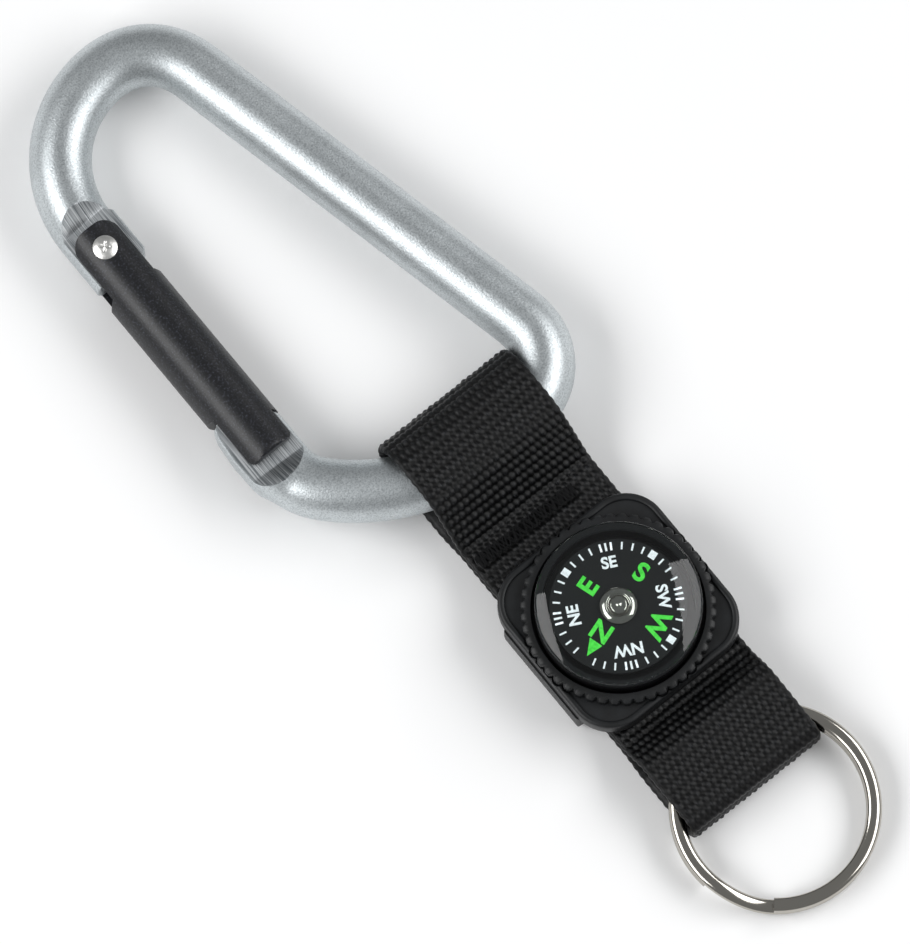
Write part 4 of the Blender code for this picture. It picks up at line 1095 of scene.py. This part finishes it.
# %% Card, marks and letters
CARD_TOP = CUP_TOP - 0.5
CARD_THICKNESS = 0.4
CARD_RADIUS = 8.3
CARD_HOLE = 1.05
INK = 0.05  # thickness of the print
NORTH = 198.0
card_floor = CARD_TOP - CARD_THICKNESS
card = [(CARD_HOLE, CARD_TOP), (CARD_RADIUS - 0.05, CARD_TOP), (CARD_RADIUS, CARD_TOP - 0.05)]
card += [(CARD_RADIUS, card_floor), (CARD_HOLE, card_floor)]
card_skin = shell(lathe(card, CAPSULE_COLUMNS), loop=True)
piece("card_disc", [card_skin], black_card_ink, "dial", ["dial_card"])


def bars(angles, inner, outer, width):
    """Thin blocks at angles in degrees, from an inner to an outer radius."""
    turn = np.radians(angles)[:, None]
    reach = inner + (outer - inner) * np.array([0, 1, 1, 0, 0, 1, 1, 0])
    out = np.array([-1, -1, 1, 1, -1, -1, 1, 1]) * width / 2
    x = reach * np.cos(turn) - out * np.sin(turn)
    y = reach * np.sin(turn) + out * np.cos(turn)
    z = np.broadcast_to(CARD_TOP + np.array([0, 0, 0, 0, 1, 1, 1, 1]) * INK, x.shape)
    block = [[0, 3, 2, 1], [4, 5, 6, 7], [0, 1, 5, 4], [1, 2, 6, 5], [2, 3, 7, 6], [3, 0, 4, 7]]
    quads = (np.arange(len(turn))[:, None, None] * 8 + np.array(block)).reshape(-1, 4)
    return skin_of(np.stack([x, y, z], -1).reshape(-1, 3), quads)


def lettering(word, cap_height, angle_at, radius):
    """A word as a thin solid, its middle at a radius and its top pointing outwards."""
    curve = bpy.data.curves.new(word, "FONT")
    curve.body = word
    curve.align_x = "CENTER"
    curve.extrude = 0.02
    curve.offset = 0.03
    text = bpy.data.objects.new(word, curve)
    bpy.context.scene.collection.objects.link(text)
    bpy.context.view_layer.update()
    depsgraph = bpy.context.evaluated_depsgraph_get()
    mesh = bpy.data.meshes.new_from_object(text.evaluated_get(depsgraph))
    bpy.data.objects.remove(text)
    points = np.empty(len(mesh.vertices) * 3)
    mesh.vertices.foreach_get("co", points)
    points = points.reshape(-1, 3)
    mesh.calc_loop_triangles()
    triangles = np.empty(len(mesh.loop_triangles) * 3, int)
    mesh.loop_triangles.foreach_get("vertices", triangles)
    low, high = points.min(0), points.max(0)
    points = points - [(low[0] + high[0]) / 2, (low[1] + high[1]) / 2, low[2]]
    points[:, :2] *= cap_height / (high[1] - low[1])
    points[:, 2] *= INK / max(high[2] - low[2], 1e-6)
    turn = math.radians(angle_at - 90)
    x = points[:, 0] * math.cos(turn) - (points[:, 1] + radius) * math.sin(turn)
    y = points[:, 0] * math.sin(turn) + (points[:, 1] + radius) * math.cos(turn)
    bpy.data.meshes.remove(mesh)
    return skin_of(np.stack([x, y, CARD_TOP + points[:, 2]], 1), fans=triangles.reshape(-1, 3))


ticks = NORTH + np.arange(10, 360, 10)
ticks = ticks[np.abs((ticks - NORTH + 5) % 90 - 5) > 6]
triples = NORTH + np.add.outer([45, 135, 225, 315], [-5, 0, 5]).ravel()
white = [bars(ticks, 7.0, 7.9, 0.22), bars(triples, 6.9, 7.9, 0.26)]
white.append(bars(NORTH + np.array([90, 180, 270]), 7.0, 8.0, 0.9))
between_points = (("NW", 45.0), ("NE", -45.0), ("SE", -135.0), ("SW", 135.0))
white += [lettering(word, 1.5, NORTH + turn, 5.5) for word, turn in between_points]
piece("white_print", white, white_ink, "dial", sharp=30)
cardinals = (("N", 0.0, 3.75), ("E", -91.0, 4.4), ("S", -180.0, 5.0), ("W", 96.5, 5.2))
green = [lettering(word, 2.45, NORTH + turn, radius) for word, turn, radius in cardinals]
ARROW = (-6.8, -2.4), (-5.1, -0.85), (-4.6, -2.6)
wedge = np.array([[*point, CARD_TOP + z] for z in (0.0, INK) for point in ARROW])
fans = [[0, 2, 1], [3, 4, 5], [0, 1, 4], [0, 4, 3], [1, 2, 5], [1, 5, 4], [2, 0, 3], [2, 3, 5]]
green.append(facing_out(skin_of(wedge, fans=np.array(fans))))
piece("green_print", green, luminous_green_ink_painted_glow, "dial", sharp=30)

# %% [markdown]
# The hub is a turned cap, plated bright, with a ring cut into its top and a small point in the
# middle: a flat-topped curve, less one bell curve for the ring, plus another for the point.

# %% Hub
HUB_BOTTOM = CARD_TOP + 0.12
HUB_RADIUS = 2.25
HUB_RING = 1.25
hub_r = np.linspace(0.01, HUB_RADIUS, 30)
hub_z = HUB_BOTTOM + 0.78 - 0.55 * (hub_r / HUB_RADIUS) ** 4
hub_z += 0.18 * np.exp(-((hub_r / 0.25) ** 2)) - 0.3 * np.exp(-(((hub_r - HUB_RING) / 0.2) ** 2))
hub = np.concatenate([np.stack([hub_r, hub_z], 1), [[HUB_RADIUS, HUB_BOTTOM], [0.01, HUB_BOTTOM]]])
hub_skin = shell(lathe(hub))
piece("turned_hub", [hub_skin], bright_nickel_plating, "dial", ["dial_hub"])

# %% [markdown]
# ## The split ring
#
# Spring wire, rolled nearly flat, is coiled twice and nickel plated. Between the coils is a step where
# the upper one comes down onto the lower. The section is a squarish oval, |x/a|^n + |z/b|^n = 1 with
# n a little over 2.

# %% Split ring
RING_LINE_RADIUS = 11.85
WIRE_WIDTH, WIRE_HEIGHT, COIL_GAP = 1.8, 1.3, 0.12
RING_END = 230.0
RING_STEP = 36.0
RING_SEAT_Y = -25.0
RING_MIDDLE = 2.86
RING_LEAN = math.radians(4.6)
RING_INSIDE = 10.95
OVAL_POWER = 2.1
END_SHRINK = 0.4
ring_total = 720.0 - RING_STEP - 5.0
turned = np.linspace(0, ring_total, 480)
height = (WIRE_HEIGHT + COIL_GAP) / 2 * (1 - 2 * smoothstep((turned - (360 - RING_STEP)) / RING_STEP))
wire_angle = np.radians(RING_END + turned)
chord = math.sqrt(RING_INSIDE**2 - STRAP_HALF_WIDTH**2)
wire = np.column_stack([RING_LINE_RADIUS * circle(wire_angle) - [0, chord], height])
oval = circle(np.linspace(0, 2 * math.pi, 32, endpoint=False))
oval = np.sign(oval) * np.abs(oval) ** (2 / OVAL_POWER)
coils = sweep(wire, oval * [WIRE_WIDTH / 2, WIRE_HEIGHT / 2])
ends = coils[[0, -1]]
ends = END_SHRINK * ends + (1 - END_SHRINK) * ends.mean(1, keepdims=True)
coils = np.concatenate([ends[:1], coils, ends[1:]])
cos_lean, sin_lean = math.cos(RING_LEAN), math.sin(RING_LEAN)
lean = np.array([[1, 0, 0], [0, cos_lean, -sin_lean], [0, sin_lean, cos_lean]])
coils = coils @ lean.T + [0, RING_SEAT_Y, RING_MIDDLE]
piece("split_ring_coils", [shell(coils)], bright_nickel_plating, "ring", ["split_ring"])

# %% [markdown]
# ## The gate's spring
#
# A helix of wire in the gate's bore.

# %% Spring
COILS = 7
SPRING_ENDS = (17.12, 9.78)  # below the pivot
SPRING_RADIUS, SPRING_WIRE = 1.12, 0.18
wind = np.linspace(0, 2 * math.pi * COILS, 400)
radial = np.stack([np.cos(wind), 0 * wind, np.sin(wind)], 1)
line_y = np.linspace(*(pivot_y - np.array(SPRING_ENDS)), 400)
spring_line = np.stack([leg_x + 0 * wind, line_y, 0 * wind], 1) + SPRING_RADIUS * radial
wire_turn = np.linspace(0, 2 * math.pi, 12, endpoint=False)[None, :, None]
round_wire = np.cos(wire_turn) * radial[:, None] + np.sin(wire_turn) * along_leg
coil = shell(from_rod_plane(spring_line[:, None] + SPRING_WIRE * round_wire))
spring = piece("gate_coil_spring", [coil], bright_steel, "gate", ["gate_spring"])
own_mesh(spring)

# %% [markdown]
# ## What stays as it was
#
# Parts inside the gate and the capsule are hidden, so they keep their plain shapes and only get a
# finish.

# %% Hidden parts
hidden = dict.fromkeys(("spring_plunger", "pivot_pin", "dial_magnet"), bright_steel)
hidden["jewel_bearing"] = synthetic_ruby
for node, finish in hidden.items():
    frame["nodes"][node].data.materials[0] = finish
    print(node, "keeps its shape, in", finish.name)
